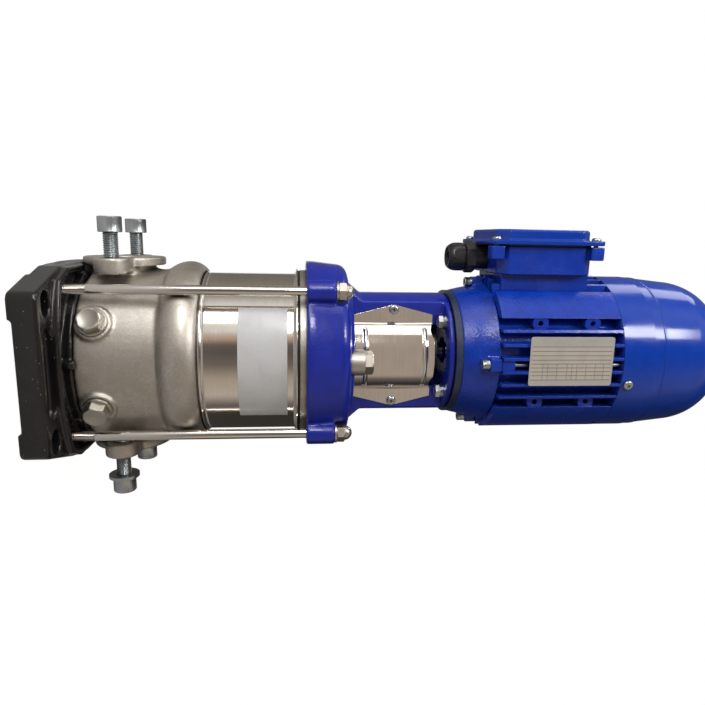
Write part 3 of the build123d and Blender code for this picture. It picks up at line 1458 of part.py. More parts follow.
with BuildPart() as terminal_box:
    with BuildSketch(box_plane.offset(box_floor_reach)) as box_plan:
        Rectangle(box_length, box_width)
        chamfer(box_plan.vertices(), length=box_corner)
    extrude(amount=box_top_reach - box_floor_reach)
    with BuildSketch(lid_plane.offset(box_top_reach - lid_lug_height)):
        with GridLocations(lid_screw_span_z, lid_screw_span_y, 2, 2):
            Circle(lid_lug_radius)
            with PolarLocations(0, 1):
                Rectangle(2 * lid_lug_radius, 2 * lid_lug_radius)
        Rectangle(lid_length - 2, lid_width - 2, mode=Mode.INTERSECT)
    extrude(amount=lid_lug_height)
    with BuildSketch(box_plane.offset(box_floor_reach + box_wall)) as box_inside:
        Rectangle(box_length - 2 * box_wall, box_width - 2 * box_wall)
        chamfer(box_inside.vertices(), length=box_corner)
    extrude(amount=box_top_reach, mode=Mode.SUBTRACT)
    with BuildSketch(gland_plane.offset(-2 * box_wall)):
        Circle(gland_thread_radius + screw_gap)
    extrude(amount=3 * box_wall, mode=Mode.SUBTRACT)
    with BuildSketch(lid_plane.offset(box_top_reach - lid_screw_length)):
        with GridLocations(lid_screw_span_z, lid_screw_span_y, 2, 2):
            Circle(lid_screw_radius + screw_gap)
    extrude(amount=lid_screw_length, mode=Mode.SUBTRACT)
terminal_box.part.label = "terminal_box"
export_step(terminal_box.part, "parts/terminal_box.step")

with BuildPart() as lid_gasket:
    with BuildSketch(box_plane.offset(box_top_reach)) as gasket_plan:
        Rectangle(box_length, box_width)
        chamfer(gasket_plan.vertices(), length=box_corner)
    extrude(amount=lid_gasket_thickness)
    with BuildSketch(box_plane.offset(box_top_reach)) as gasket_inside:
        Rectangle(box_length - 2 * lid_gasket_width, box_width - 2 * lid_gasket_width)
        chamfer(gasket_inside.vertices(), length=box_corner)
    extrude(amount=lid_gasket_thickness, mode=Mode.SUBTRACT)
lid_gasket.part.label = "lid_gasket"
export_step(lid_gasket.part, "parts/lid_gasket.step")

# The lid, a flange with a raised panel whose corners leave room for the screws' heads
lid_seat = gasket_top + lid_flange_thickness
panel_length = lid_length - lid_panel_inset_low - lid_panel_inset_high
panel_width = lid_width - 2 * lid_panel_inset_side
panel_middle = lid_level + lid_panel_inset_low + panel_length / 2
panel_plane = Plane(origin=(0, 0, panel_middle), x_dir=(0, 0, 1), z_dir=(-1, 0, 0))

with BuildPart() as terminal_lid:
    with BuildSketch(lid_plane.offset(gasket_top)):
        RectangleRounded(lid_length, lid_width, lid_edge)
    extrude(amount=lid_flange_thickness)
    with BuildSketch(panel_plane.offset(gasket_top)) as panel_plan:
        Rectangle(panel_length, panel_width)
        chamfer(panel_plan.vertices(), length=lid_panel_corner)
    extrude(amount=lid_reach - gasket_top)
    chamfer(terminal_lid.faces().sort_by(Axis.X)[0].edges(), length=lid_panel_edge)
    with BuildSketch(panel_plane.offset(gasket_top)) as cavity_plan:
        Rectangle(panel_length - 2 * lid_wall, panel_width - 2 * lid_wall)
        with Locations((box_middle - panel_middle, 0)):
            Rectangle(
                box_length - 2 * lid_gasket_width, box_width - 2 * lid_gasket_width, mode=Mode.INTERSECT
            )
        chamfer(cavity_plan.vertices(), length=lid_cavity_corner)
    extrude(amount=lid_reach - gasket_top - lid_wall, mode=Mode.SUBTRACT)
    with BuildSketch(lid_plane.offset(gasket_top)):
        with GridLocations(lid_screw_span_z, lid_screw_span_y, 2, 2):
            Circle(lid_screw_radius + screw_gap)
    extrude(amount=lid_reach, mode=Mode.SUBTRACT)
terminal_lid.part.label = "terminal_lid"
export_step(terminal_lid.part, "parts/terminal_lid.step")

with BuildPart() as lid_screws:
    with BuildSketch(lid_plane.offset(lid_seat)):
        with GridLocations(lid_screw_span_z, lid_screw_span_y, 2, 2):
            Circle(lid_screw_head_radius)
    extrude(amount=lid_screw_head_height)
    with BuildSketch(lid_plane.offset(lid_seat - lid_screw_length)):
        with GridLocations(lid_screw_span_z, lid_screw_span_y, 2, 2):
            Circle(lid_screw_radius)
    extrude(amount=lid_screw_length)
lid_screws.part.label = "lid_screws"
export_step(lid_screws.part, "parts/lid_screws.step")

# The terminal board inside the box
with BuildPart() as terminal_board:
    with BuildSketch(box_plane.offset(box_floor_reach + box_wall)):
        Rectangle(terminal_board_length, terminal_board_width)
    extrude(amount=terminal_board_thickness)
    with BuildSketch(box_plane.offset(box_floor_reach + box_wall + terminal_board_thickness)):
        with GridLocations(terminal_board_length / 3, terminal_board_width / 2, 3, 2):
            Circle(terminal_stud_radius)
    extrude(amount=terminal_stud_height)
terminal_board.part.label = "terminal_board"
export_step(terminal_board.part, "parts/terminal_board.step")

# The cable gland, with its body, its seal and its domed nut
gland_hex_start = gland_collar_length
gland_nut_start = gland_hex_start + gland_hex_length
gland_end = gland_nut_start + gland_nut_length

with BuildPart() as gland_body:
    with BuildSketch(gland_plane):
        Circle(gland_collar_radius)
    extrude(amount=gland_collar_length)
    with BuildSketch(gland_plane.offset(gland_hex_start)):
        RegularPolygon(gland_hex_flats / 2, 6, major_radius=False)
    extrude(amount=gland_hex_length)
    with BuildSketch(gland_plane.offset(-2 * box_wall)):
        Circle(gland_thread_radius)
    extrude(amount=2 * box_wall)
    with BuildSketch(gland_plane.offset(-2 * box_wall)):
        Circle(gland_bore_radius)
    extrude(amount=2 * box_wall + gland_nut_start, mode=Mode.SUBTRACT)
gland_body.part.label = "gland_body"
export_step(gland_body.part, "parts/gland_body.step")

with BuildPart() as gland_nut:
    with BuildSketch(gland_plane.offset(gland_nut_start)):
        Circle(gland_nut_radius)
    extrude(amount=gland_nut_length)
    fillet(gland_nut.faces().sort_by(Axis.Z)[0].edges(), radius=gland_nut_radius / 3)
    with BuildSketch(gland_plane.offset(gland_nut_start)):
        Circle(gland_bore_radius)
    extrude(amount=gland_nut_length, mode=Mode.SUBTRACT)
gland_nut.part.label = "gland_nut"
export_step(gland_nut.part, "parts/gland_nut.step")

with BuildPart() as gland_seal:
    with BuildSketch(gland_plane.offset(gland_end - gland_seal_length)):
        Circle(gland_bore_radius - fit_gap)
        Circle(gland_cable_radius, mode=Mode.SUBTRACT)
    extrude(amount=gland_seal_length - 1)
gland_seal.part.label = "gland_seal"
export_step(gland_seal.part, "parts/gland_seal.step")

# The rating plate on the fins and the label round the sleeve, both left bare
plate_reach = sqrt(fin_tip_radius**2 - (fin_pitch / 2 - fin_thickness / 2) ** 2)

with BuildPart() as rating_plate:
    with BuildSketch(Plane.XZ.offset(plate_reach + fit_gap)):
        with Locations((rating_plate_offset, frame_level + rating_plate_level + rating_plate_length / 2)):
            RectangleRounded(rating_plate_width, rating_plate_length, 2)
    extrude(amount=rating_plate_thickness)
rating_plate.part.label = "rating_plate"
export_step(rating_plate.part, "parts/rating_plate.step")

label_radius = sleeve_radius + fit_gap
label_reach = 2 * label_radius
label_half_width = label_reach * tan(radians(sleeve_label_half_angle))

with BuildPart() as sleeve_label:
    with BuildSketch(Plane.XY.offset(sleeve_top - sleeve_label_top_gap - sleeve_label_length)):
        Circle(label_radius + sleeve_label_thickness)
        Circle(label_radius, mode=Mode.SUBTRACT)
        with BuildLine():
            Polyline((0, 0), (-label_half_width, -label_reach), (label_half_width, -label_reach), close=True)
        make_face(mode=Mode.INTERSECT)
    extrude(amount=sleeve_label_length)
sleeve_label.part.label = "sleeve_label"
export_step(sleeve_label.part, "parts/sleeve_label.step")
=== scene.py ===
import json
import logging
from dataclasses import dataclass, field
from enum import Enum
from math import asin, cos, hypot, pi, radians, sin, sqrt
from typing import Callable, Sequence

import bmesh
import bpy
import numpy as np
from bpy.types import bpy_prop_collection, ID, Material, Mesh, Node, NodeSocket, NodeTree, Object, World
from mathutils import Matrix, Vector


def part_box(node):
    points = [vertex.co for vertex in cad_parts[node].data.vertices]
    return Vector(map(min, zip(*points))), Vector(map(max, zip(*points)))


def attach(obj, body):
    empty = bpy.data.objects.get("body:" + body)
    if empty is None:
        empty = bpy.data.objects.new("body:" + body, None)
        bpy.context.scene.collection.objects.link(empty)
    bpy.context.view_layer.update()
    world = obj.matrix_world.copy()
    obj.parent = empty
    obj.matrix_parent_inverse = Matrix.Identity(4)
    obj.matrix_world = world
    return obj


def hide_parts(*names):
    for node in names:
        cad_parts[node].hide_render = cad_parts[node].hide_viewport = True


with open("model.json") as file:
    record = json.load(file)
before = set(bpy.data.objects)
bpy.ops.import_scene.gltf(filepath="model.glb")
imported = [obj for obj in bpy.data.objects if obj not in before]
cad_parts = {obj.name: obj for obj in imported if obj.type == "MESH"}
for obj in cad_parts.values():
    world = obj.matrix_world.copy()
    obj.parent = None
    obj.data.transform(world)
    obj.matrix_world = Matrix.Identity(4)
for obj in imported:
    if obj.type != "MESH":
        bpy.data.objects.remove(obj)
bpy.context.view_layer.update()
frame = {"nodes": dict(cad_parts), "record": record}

log = logging.getLogger("pump")

MM = 0.001
STILL = "pump_unit"
Materials = dict[str, Material]
Color = tuple[float, float, float]
RadiusRule = Callable[[float, float], float]
Row = tuple[float, "float | RadiusRule"]

PAINT_CHIP = (0.20, 0.22, 0.26)
# Painted shade for seams and inner corners on paint, standing also for dirt there.
PAINT_SEAM_SHADE = (0.003, 0.004, 0.014)
# Pale specks on paint: partly dust, partly painted glints.
PALE_DUST_AND_GLINT = (0.6, 0.58, 0.54)
# Painted shade for seams and inner corners on metal, standing also for dirt there.
METAL_SEAM_SHADE = (0.06, 0.055, 0.05)
RUBBED_METAL = (0.86, 0.85, 0.83)
PLATE_HAZE = (0.5, 0.48, 0.45)
COAT_ROUGHNESS = 0.06
HEX_SEGMENTS = 72
PAN_SEGMENTS = 48


class Socket(Enum):
    """The kinds of socket that an effect puts out."""

    VALUE = "NodeSocketFloat"
    VECTOR = "NodeSocketVector"


class Side(Enum):
    """The two sides of the shaft, by the sign of their axis."""

    NEGATIVE = -1
    POSITIVE = 1


# Wiring of materials


class Wiring:
    """Adds nodes to one node tree and joins their sockets."""

    def __init__(self, tree: NodeTree) -> None:
        """Keeps the tree that the nodes go into."""
        self.tree = tree

    def add(self, kind: str, inputs: dict | None = None, **settings: object) -> Node:
        """Adds one node.

        Args:
            kind: Blender's name of the node type.
            inputs: Values or sockets by the name or number of the input.
            settings: Properties of the node.

        Returns:
            The new node.
        """
        node = self.tree.nodes.new(kind)
        for key, value in settings.items():
            setattr(node, key, value)
        for key, value in (inputs or {}).items():
            if isinstance(value, NodeSocket):
                self.tree.links.new(value, node.inputs[key])
            else:
                node.inputs[key].default_value = value
        return node

    def math(self, operation: str, first: object, second: object = 0.0) -> NodeSocket:
        """Adds a math node and returns its output."""
        return self.add("ShaderNodeMath", {0: first, 1: second}, operation=operation).outputs[0]

    def times(self, first: object, second: object) -> NodeSocket:
        """Multiplies two values."""
        return self.math("MULTIPLY", first, second)

    def scale(self, size: object) -> NodeSocket:
        """Turns a size in millimetres into a texture's scale."""
        return self.math("DIVIDE", 1.0 / MM, size)

    def span(
        self, value: object, low: float, high: float, start: float = 0.0, end: float = 1.0
    ) -> NodeSocket:
        """Maps a value smoothly from one span to another.

        Args:
            value: The socket to map.
            low: The value that gives start.
            high: The value that gives end.
            start: The result at and below low.
            end: The result at and above high.

        Returns:
            The mapped value's socket.
        """
        inputs = {"Value": value, "From Min": low, "From Max": high, "To Min": start, "To Max": end}
        return self.add("ShaderNodeMapRange", inputs, interpolation_type="SMOOTHSTEP").outputs[0]

    def tint(self, factor: object, first: object, second: object) -> NodeSocket:
        """Mixes two colours.

        Args:
            factor: The share of the second colour.
            first: The first colour or its socket.
            second: The second colour or its socket.

        Returns:
            The mixed colour's socket.
        """
        inputs = {0: factor}
        for key, value in ((6, first), (7, second)):
            inputs[key] = value if isinstance(value, NodeSocket) else (*value, 1.0)
        return self.add("ShaderNodeMix", inputs, data_type="RGBA").outputs[2]

    def noise(self, vector: object, scale: object, detail: float = 2.0) -> NodeSocket:
        """Adds a noise texture and returns its value."""
        inputs = {"Vector": vector, "Scale": scale, "Detail": detail}
        return self.add("ShaderNodeTexNoise", inputs).outputs["Fac"]

    def place(self) -> NodeSocket:
        """Returns the point's place in its object."""
        return self.add("ShaderNodeTexCoord").outputs["Object"]

    def effect(self, name: str, inputs: dict[str, object]) -> bpy_prop_collection:
        """Places one of the shared effects.

        Args:
            name: The effect's name.
            inputs: Values by the name of the effect's input.

        Returns:
            The group node's outputs.
        """
        return self.add("ShaderNodeGroup", inputs, node_tree=bpy.data.node_groups[name]).outputs

    def link(self, value: NodeSocket, node: Node, key: str) -> None:
        """Joins an output to a node's input."""
        self.tree.links.new(value, node.inputs[key])


class Effects:
    """The surface effects that several finishes share, each one a node group that is built once."""

    @staticmethod
    def start(
        name: str, inputs: dict[str, float], outputs: dict[str, Socket]
    ) -> tuple[Wiring, dict[str, NodeSocket], Node]:
        """Starts a node group.

        Args:
            name: The group's name.
            inputs: The default of each number that goes in.
            outputs: The kind of each socket that comes out.

        Returns:
            The wiring, the sockets that come in, and the node that takes what goes out.
        """
        tree = bpy.data.node_groups.new(name, "ShaderNodeTree")
        for label, value in inputs.items():
            given = tree.interface.new_socket(label, in_out="INPUT", socket_type=Socket.VALUE.value)
            given.default_value = value
        for label, kind in outputs.items():
            tree.interface.new_socket(label, in_out="OUTPUT", socket_type=kind.value)
        wiring = Wiring(tree)
        entry = wiring.add("NodeGroupInput").outputs
        return wiring, {label: entry[label] for label in inputs}, wiring.add("NodeGroupOutput")

    @classmethod
    def edge_wear(cls) -> None:
        """Rounds sharp edges in the shading and marks where paint or polish rubs off them."""
        outputs = {"Mask": Socket.VALUE, "Normal": Socket.VECTOR}
        wiring, given, out = cls.start("edge_wear", {"Radius": 1.0, "Amount": 0.5}, outputs)
        radius = wiring.times(given["Radius"], MM)
        rounded = wiring.add("ShaderNodeBevel", {"Radius": radius}, samples=4).outputs[0]
        flat = wiring.add("ShaderNodeNewGeometry").outputs["Normal"]
        inputs = {0: rounded, 1: flat}
        compared = wiring.add("ShaderNodeVectorMath", inputs, operation="DOT_PRODUCT")
        edge = wiring.span(compared.outputs["Value"], 0.985, 0.86)
        patches = wiring.span(wiring.noise(wiring.place(), 160.0, 3.0), 0.46, 0.62)
        rubbed = wiring.times(wiring.times(edge, patches), given["Amount"])
        wiring.link(rubbed, out, "Mask")
        wiring.link(rounded, out, "Normal")

    @classmethod
    def crevice_shade(cls) -> None:
        """Marks seams and inner corners from ambient occlusion, for painted shade where little light comes,
        standing also for dirt that gathers there.
        """
        wiring, given, out = cls.start("crevice_shade", {"Reach": 3.0, "Amount": 0.5}, {"Mask": Socket.VALUE})
        reach = wiring.times(given["Reach"], MM)
        open_share = wiring.add("ShaderNodeAmbientOcclusion", {"Distance": reach}, samples=4).outputs["AO"]
        # The mask paints shade into seams, grooves and inner corners by how little of the open room they see.
        wiring.link(wiring.times(wiring.span(open_share, 0.8, 0.3), given["Amount"]), out, "Mask")

    @classmethod
    def cast_grain(cls) -> None:
        """Gives the uneven, pebbled skin of a casting at one size of grain."""
        outputs = {"Height": Socket.VALUE, "Tone": Socket.VALUE, "Fleck": Socket.VALUE}
        wiring, given, out = cls.start("cast_grain", {"Size": 1.0}, outputs)
        scale = wiring.scale(given["Size"])
        place = wiring.place()
        fine = wiring.noise(place, scale, 3.0)
        broad = wiring.noise(place, wiring.math("DIVIDE", scale, 5.0), 2.0)
        wiring.link(wiring.math("ADD", fine, broad), out, "Height")
        wiring.link(wiring.span(broad, 0.3, 0.7), out, "Tone")
        wiring.link(wiring.span(fine, 0.35, 0.65), out, "Fleck")

    @classmethod
    def orange_peel(cls) -> None:
        """Gives the soft dimples of sprayed enamel."""
        wiring, given, out = cls.start("orange_peel", {"Size": 1.0}, {"Height": Socket.VALUE})
        scale = wiring.scale(given["Size"])
        inputs = {"Vector": wiring.place(), "Scale": scale}
        cells = wiring.add("ShaderNodeTexVoronoi", inputs, feature="SMOOTH_F1")
        wiring.link(wiring.span(cells.outputs["Distance"], 0.1, 0.8), out, "Height")

    @classmethod
    def grime(cls) -> None:
        """Marks large cloudy patches, as handling and dust leave them."""
        wiring, given, out = cls.start("grime", {"Size": 30.0, "Amount": 0.5}, {"Mask": Socket.VALUE})
        scale = wiring.scale(given["Size"])
        cloud = wiring.span(wiring.noise(wiring.place(), scale, 5.0), 0.42, 0.68)
        wiring.link(wiring.times(cloud, given["Amount"]), out, "Mask")

    @classmethod
    def specks(cls) -> None:
        """Scatters small round specks, as dust and paint spatter lie; pale ones on paint also stand for
        painted glints.
        """
        wiring, given, out = cls.start("specks", {"Size": 2.0, "Amount": 0.5}, {"Mask": Socket.VALUE})
        scale = wiring.scale(given["Size"])
        cells = wiring.add("ShaderNodeTexVoronoi", {"Vector": wiring.place(), "Scale": scale})
        chosen = wiring.add("ShaderNodeSeparateColor", {0: cells.outputs["Color"]}).outputs[0]
        round_dots = wiring.span(cells.outputs["Distance"], 0.2, 0.08)
        dots = wiring.times(round_dots, wiring.span(chosen, 0.8, 0.84))
        wiring.link(wiring.times(dots, given["Amount"]), out, "Mask")

    @classmethod
    def brushing(cls) -> None:
        """Gives the drawn-out streaks of brushing, turning or stacked sheets, with a size along each axis."""
        sizes = {"Size X": 20.0, "Size Y": 20.0, "Size Z": 0.3}
        wiring, given, out = cls.start("brushing", sizes, {"Height": Socket.VALUE, "Tone": Socket.VALUE})
        scales = [wiring.scale(given[f"Size {axis}"]) for axis in "XYZ"]
        stretch = wiring.add("ShaderNodeCombineXYZ", dict(enumerate(scales))).outputs[0]
        drawn = wiring.add("ShaderNodeVectorMath", {0: wiring.place(), 1: stretch}, operation="MULTIPLY")
        streaks = wiring.noise(drawn.outputs[0], 1.0, 3.0)
        wiring.link(streaks, out, "Height")
        wiring.link(wiring.span(streaks, 0.35, 0.65), out, "Tone")

    @classmethod
    def ruled_fields(cls) -> None:
        """Draws a rating plate's empty table: a bare head, ruled rows and a grid of bare fields."""
        sizes = {"Left": 0.0, "Bottom": 0.0, "Width": 40.0, "Length": 70.0}
        wiring, given, out = cls.start("ruled_fields", sizes, {"Lines": Socket.VALUE, "Fields": Socket.VALUE})
        place = wiring.add("ShaderNodeSeparateXYZ", {0: wiring.place()}).outputs

        def share(value: object, start: object, size: object) -> NodeSocket:
            """Gives how far along the plate a point lies, from 0 to 1."""
            offset = wiring.math("SUBTRACT", wiring.times(value, 1.0 / MM), start)
            return wiring.math("DIVIDE", offset, size)

        def rules(value: object, levels: Sequence[float], thickness: float) -> NodeSocket:
            """Adds up thin lines at the given levels of a value.

            Args:
                value: The value that the lines cross.
                levels: Where the lines lie.
                thickness: Half of a line's width.

            Returns:
                The lines' mask.
            """
            total = None
            for level in levels:
                away = wiring.math("ABSOLUTE", wiring.math("SUBTRACT", value, level))
                line = wiring.span(away, thickness, thickness * 0.6)
                total = line if total is None else wiring.math("MAXIMUM", total, line)
            return total

        across = share(place[0], given["Left"], given["Width"])
        along = share(place[2], given["Bottom"], given["Length"])
        inside = wiring.span(wiring.math("ABSOLUTE", wiring.math("SUBTRACT", along, 0.5)), 0.476, 0.474)
        rows = rules(across, (0.2, 0.29, 0.38, 0.47, 0.55, 0.63, 0.71, 0.79, 0.88), 0.009)
        columns = rules(along, (0.16, 0.22, 0.33, 0.45, 0.51, 0.57, 0.68, 0.79, 0.89), 0.0035)
        in_grid = wiring.times(wiring.span(across, 0.545, 0.55), wiring.span(across, 0.885, 0.88))
        ruled = wiring.math("MAXIMUM", rows, wiring.times(columns, in_grid))
        table = wiring.times(wiring.span(across, 0.2, 0.205), wiring.span(across, 0.885, 0.88))
        wiring.link(wiring.times(ruled, inside), out, "Lines")
        wiring.link(wiring.times(table, inside), out, "Fields")

    @classmethod
    def build_all(cls) -> None:
        """Builds every effect once."""
        surface = (cls.edge_wear, cls.crevice_shade, cls.cast_grain, cls.orange_peel)
        for effect in (*surface, cls.grime, cls.specks, cls.brushing, cls.ruled_fields):
            effect()


def start_tree(holder: Material | World) -> Wiring:
    """Empties the node tree of a material or world and gives its wiring."""
    holder.use_nodes = True
    holder.node_tree.nodes.clear()
    return Wiring(holder.node_tree)


def start_material(
    name: str, roughness: float, metallic: float = 0.0, coat: float = 0.0
) -> tuple[Material, Wiring, Node]:
    """Starts a material with its shader and output.

    Args:
        name: The material's name.
        roughness: The shader's roughness.
        metallic: How metallic the surface is.
        coat: The weight of the clear coat.

    Returns:
        The material, its wiring, and the Principled shader.
    """
    material = bpy.data.materials.new(name)
    wiring = start_tree(material)
    inputs = {"Roughness": roughness, "Metallic": metallic, "Coat Weight": coat}
    shader = wiring.add("ShaderNodeBsdfPrincipled", inputs)
    if coat:
        shader.inputs["Coat Roughness"].default_value = COAT_ROUGHNESS
    wiring.add("ShaderNodeOutputMaterial", {"Surface": shader.outputs[0]})
    return material, wiring, shader


def raise_surface(
    wiring: Wiring, shader: Node, heights: Sequence[tuple[object, float]], normal: object
) -> None:
    """Feeds the shader's normal from one or more heights.

    Args:
        wiring: The material's wiring.
        shader: The Principled shader.
        heights: Pairs of a height socket and its depth in millimetres.
        normal: The normal that the bumps start from.
    """
    total = None
    for socket, depth in heights:
        part = wiring.times(socket, depth)
        total = part if total is None else wiring.math("ADD", total, part)
    bump = wiring.add("ShaderNodeBump", {"Height": total, "Distance": MM, "Strength": 1.0, "Normal": normal})
    wiring.link(bump.outputs[0], shader, "Normal")


@dataclass(frozen=True)
class PaintFinish:
    """Sprayed enamel over a casting or a pressing."""

    name: str
    color: Color
    shade: Color
    worn: Color
    roughness: float = 0.3
    coat: float = 0.5
    peel_size: float = 1.6
    peel_depth: float = 0.012
    grain_size: float = 1.5
    grain_depth: float = 0.0
    edge_radius: float = 0.8
    wear: float = 0.3
    # Share of pale specks, partly dust and partly painted glints.
    specks: float = 0.0
    # How far seams and inner corners darken: painted shade, standing also for dirt.
    seam_shade_and_dirt: float = 0.75

    def material(self) -> Material:
        """Builds the finish as a material."""
        material, wiring, shader = start_material(self.name, self.roughness, coat=self.coat)
        edge = wiring.effect("edge_wear", {"Radius": self.edge_radius, "Amount": self.wear})
        grain = wiring.effect("cast_grain", {"Size": self.grain_size})
        peel = wiring.effect("orange_peel", {"Size": self.peel_size})
        grime = wiring.effect("grime", {"Size": 35.0, "Amount": 1.0})
        shaded_seams = wiring.effect("crevice_shade", {"Reach": 4.0, "Amount": self.seam_shade_and_dirt})
        body = wiring.tint(wiring.times(grain["Tone"], 0.6), self.color, self.shade)
        body = wiring.tint(edge["Mask"], body, self.worn)
        # Painted shade: seams and inner corners darken towards the seam colour by ambient occlusion.
        body = wiring.tint(shaded_seams["Mask"], body, PAINT_SEAM_SHADE)
        # Pale specks: partly dust, partly painted glints on the enamel.
        if self.specks:
            speck_marks = wiring.effect("specks", {"Size": 2.2, "Amount": self.specks})
            body = wiring.tint(speck_marks["Mask"], body, PALE_DUST_AND_GLINT)
        wiring.link(body, shader, "Base Color")
        rough = wiring.span(grime["Mask"], 0.0, 1.0, self.roughness * 0.85, self.roughness * 1.35)
        wiring.link(rough, shader, "Roughness")
        heights = [(peel["Height"], self.peel_depth)]
        if self.grain_depth:
            heights.append((grain["Height"], self.grain_depth))
        raise_surface(wiring, shader, heights, edge["Normal"])
        return material


@dataclass(frozen=True)
class MetalFinish:
    """Bare metal, blasted, brushed, turned, plated or polished."""

    name: str
    color: Color
    stain: Color
    roughness: float
    rough_spread: float = 0.08
    streaks: tuple[float, float, float] = (1.5, 1.5, 1.5)
    streak_depth: float = 0.002
    grain_size: float = 0.8
    grain_depth: float = 0.0
    edge_radius: float = 0.4
    stain_share: float = 0.5
    specks: float = 0.0
    swell_depth: float = 0.0
    # How far seams, thread grooves and inner corners darken: painted shade, standing also for dirt.
    seam_shade_and_dirt: float = 0.7
    seam_reach: float = 2.5

    def material(self) -> Material:
        """Builds the finish as a material."""
        material, wiring, shader = start_material(self.name, self.roughness, metallic=1.0)
        edge = wiring.effect("edge_wear", {"Radius": self.edge_radius, "Amount": 0.6})
        streaks = wiring.effect("brushing", dict(zip(("Size X", "Size Y", "Size Z"), self.streaks)))
        stain = wiring.effect("grime", {"Size": 22.0, "Amount": self.stain_share})
        body = wiring.tint(wiring.times(streaks["Tone"], 0.25), self.color, self.stain)
        body = wiring.tint(stain["Mask"], body, self.stain)
        body = wiring.tint(wiring.times(edge["Mask"], 0.5), body, RUBBED_METAL)
        shaded_seams = wiring.effect("crevice_shade", {"Reach": self.seam_reach, "Amount": self.seam_shade_and_dirt})
        # Painted shade: seams, thread grooves and inner corners darken by ambient occlusion.
        body = wiring.tint(shaded_seams["Mask"], body, METAL_SEAM_SHADE)
        if self.specks:
            speck_marks = wiring.effect("specks", {"Size": 3.2, "Amount": self.specks})
            body = wiring.tint(speck_marks["Mask"], body, self.stain)
        low, high = self.roughness, self.roughness + self.rough_spread
        rough = wiring.span(wiring.math("ADD", streaks["Tone"], stain["Mask"]), 0.0, 2.0, low, high)
        wiring.link(rough, shader, "Roughness")
        heights = [(streaks["Height"], self.streak_depth)]
        if self.grain_depth:
            grain = wiring.effect("cast_grain", {"Size": self.grain_size})
            heights.append((grain["Height"], self.grain_depth))
            body = wiring.tint(wiring.times(grain["Fleck"], 0.5), body, self.stain)
        if self.swell_depth:
            swell = wiring.effect("cast_grain", {"Size": 14.0})
            heights.append((swell["Height"], self.swell_depth))
        wiring.link(body, shader, "Base Color")
        raise_surface(wiring, shader, heights, edge["Normal"])
        return material


@dataclass(frozen=True)
class MouldedFinish:
    """Moulded plastic, rubber or ceramic."""

    name: str
    color: Color
    scuffed: Color
    roughness: float = 0.45
    grain_size: float = 0.5
    grain_depth: float = 0.01
    edge_radius: float = 0.4

    def material(self) -> Material:
        """Builds the finish as a material."""
        material, wiring, shader = start_material(self.name, self.roughness)
        edge = wiring.effect("edge_wear", {"Radius": self.edge_radius, "Amount": 0.8})
        grain = wiring.effect("cast_grain", {"Size": self.grain_size})
        haze = wiring.effect("grime", {"Size": 12.0, "Amount": 0.5})
        body = wiring.tint(wiring.math("MAXIMUM", edge["Mask"], haze["Mask"]), self.color, self.scuffed)
        wiring.link(body, shader, "Base Color")
        rough = wiring.span(haze["Mask"], 0.0, 0.5, self.roughness * 0.85, self.roughness * 1.25)
        wiring.link(rough, shader, "Roughness")
        raise_surface(wiring, shader, [(grain["Height"], self.grain_depth)], edge["Normal"])
        return material


@dataclass(frozen=True)
class PlateFinish:
    """Satin foil with the ruled lines of an empty table."""

    name: str
    color: Color = (0.62, 0.62, 0.61)
    field_color: Color = (0.70, 0.66, 0.60)
    ink: Color = (0.12, 0.11, 0.11)
    node: str = "rating_plate"

    def material(self) -> Material:
        """Builds the finish as a material."""
        low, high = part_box(self.node)
        material, wiring, shader = start_material(self.name, 0.36, metallic=0.55)
        edge = wiring.effect("edge_wear", {"Radius": 0.3, "Amount": 0.3})
        table = {"Left": low.x / MM, "Bottom": low.z / MM}
        table |= {"Width": (high.x - low.x) / MM, "Length": (high.z - low.z) / MM}
        fields = wiring.effect("ruled_fields", table)
        haze = wiring.effect("grime", {"Size": 9.0, "Amount": 0.35})
        streaks = wiring.effect("brushing", {"Size X": 0.25, "Size Y": 5.0, "Size Z": 9.0})
        body = wiring.tint(fields["Fields"], self.color, self.field_color)
        body = wiring.tint(haze["Mask"], body, PLATE_HAZE)
        body = wiring.tint(wiring.times(fields["Lines"], 0.8), body, self.ink)
        wiring.link(body, shader, "Base Color")
        rough = wiring.span(wiring.math("ADD", haze["Mask"], fields["Lines"]), 0.0, 1.3, 0.32, 0.55)
        wiring.link(rough, shader, "Roughness")
        raise_surface(wiring, shader, [(streaks["Height"], 0.004), (fields["Lines"], -0.01)], edge["Normal"])
        return material


Finish = PaintFinish | MetalFinish | MouldedFinish | PlateFinish

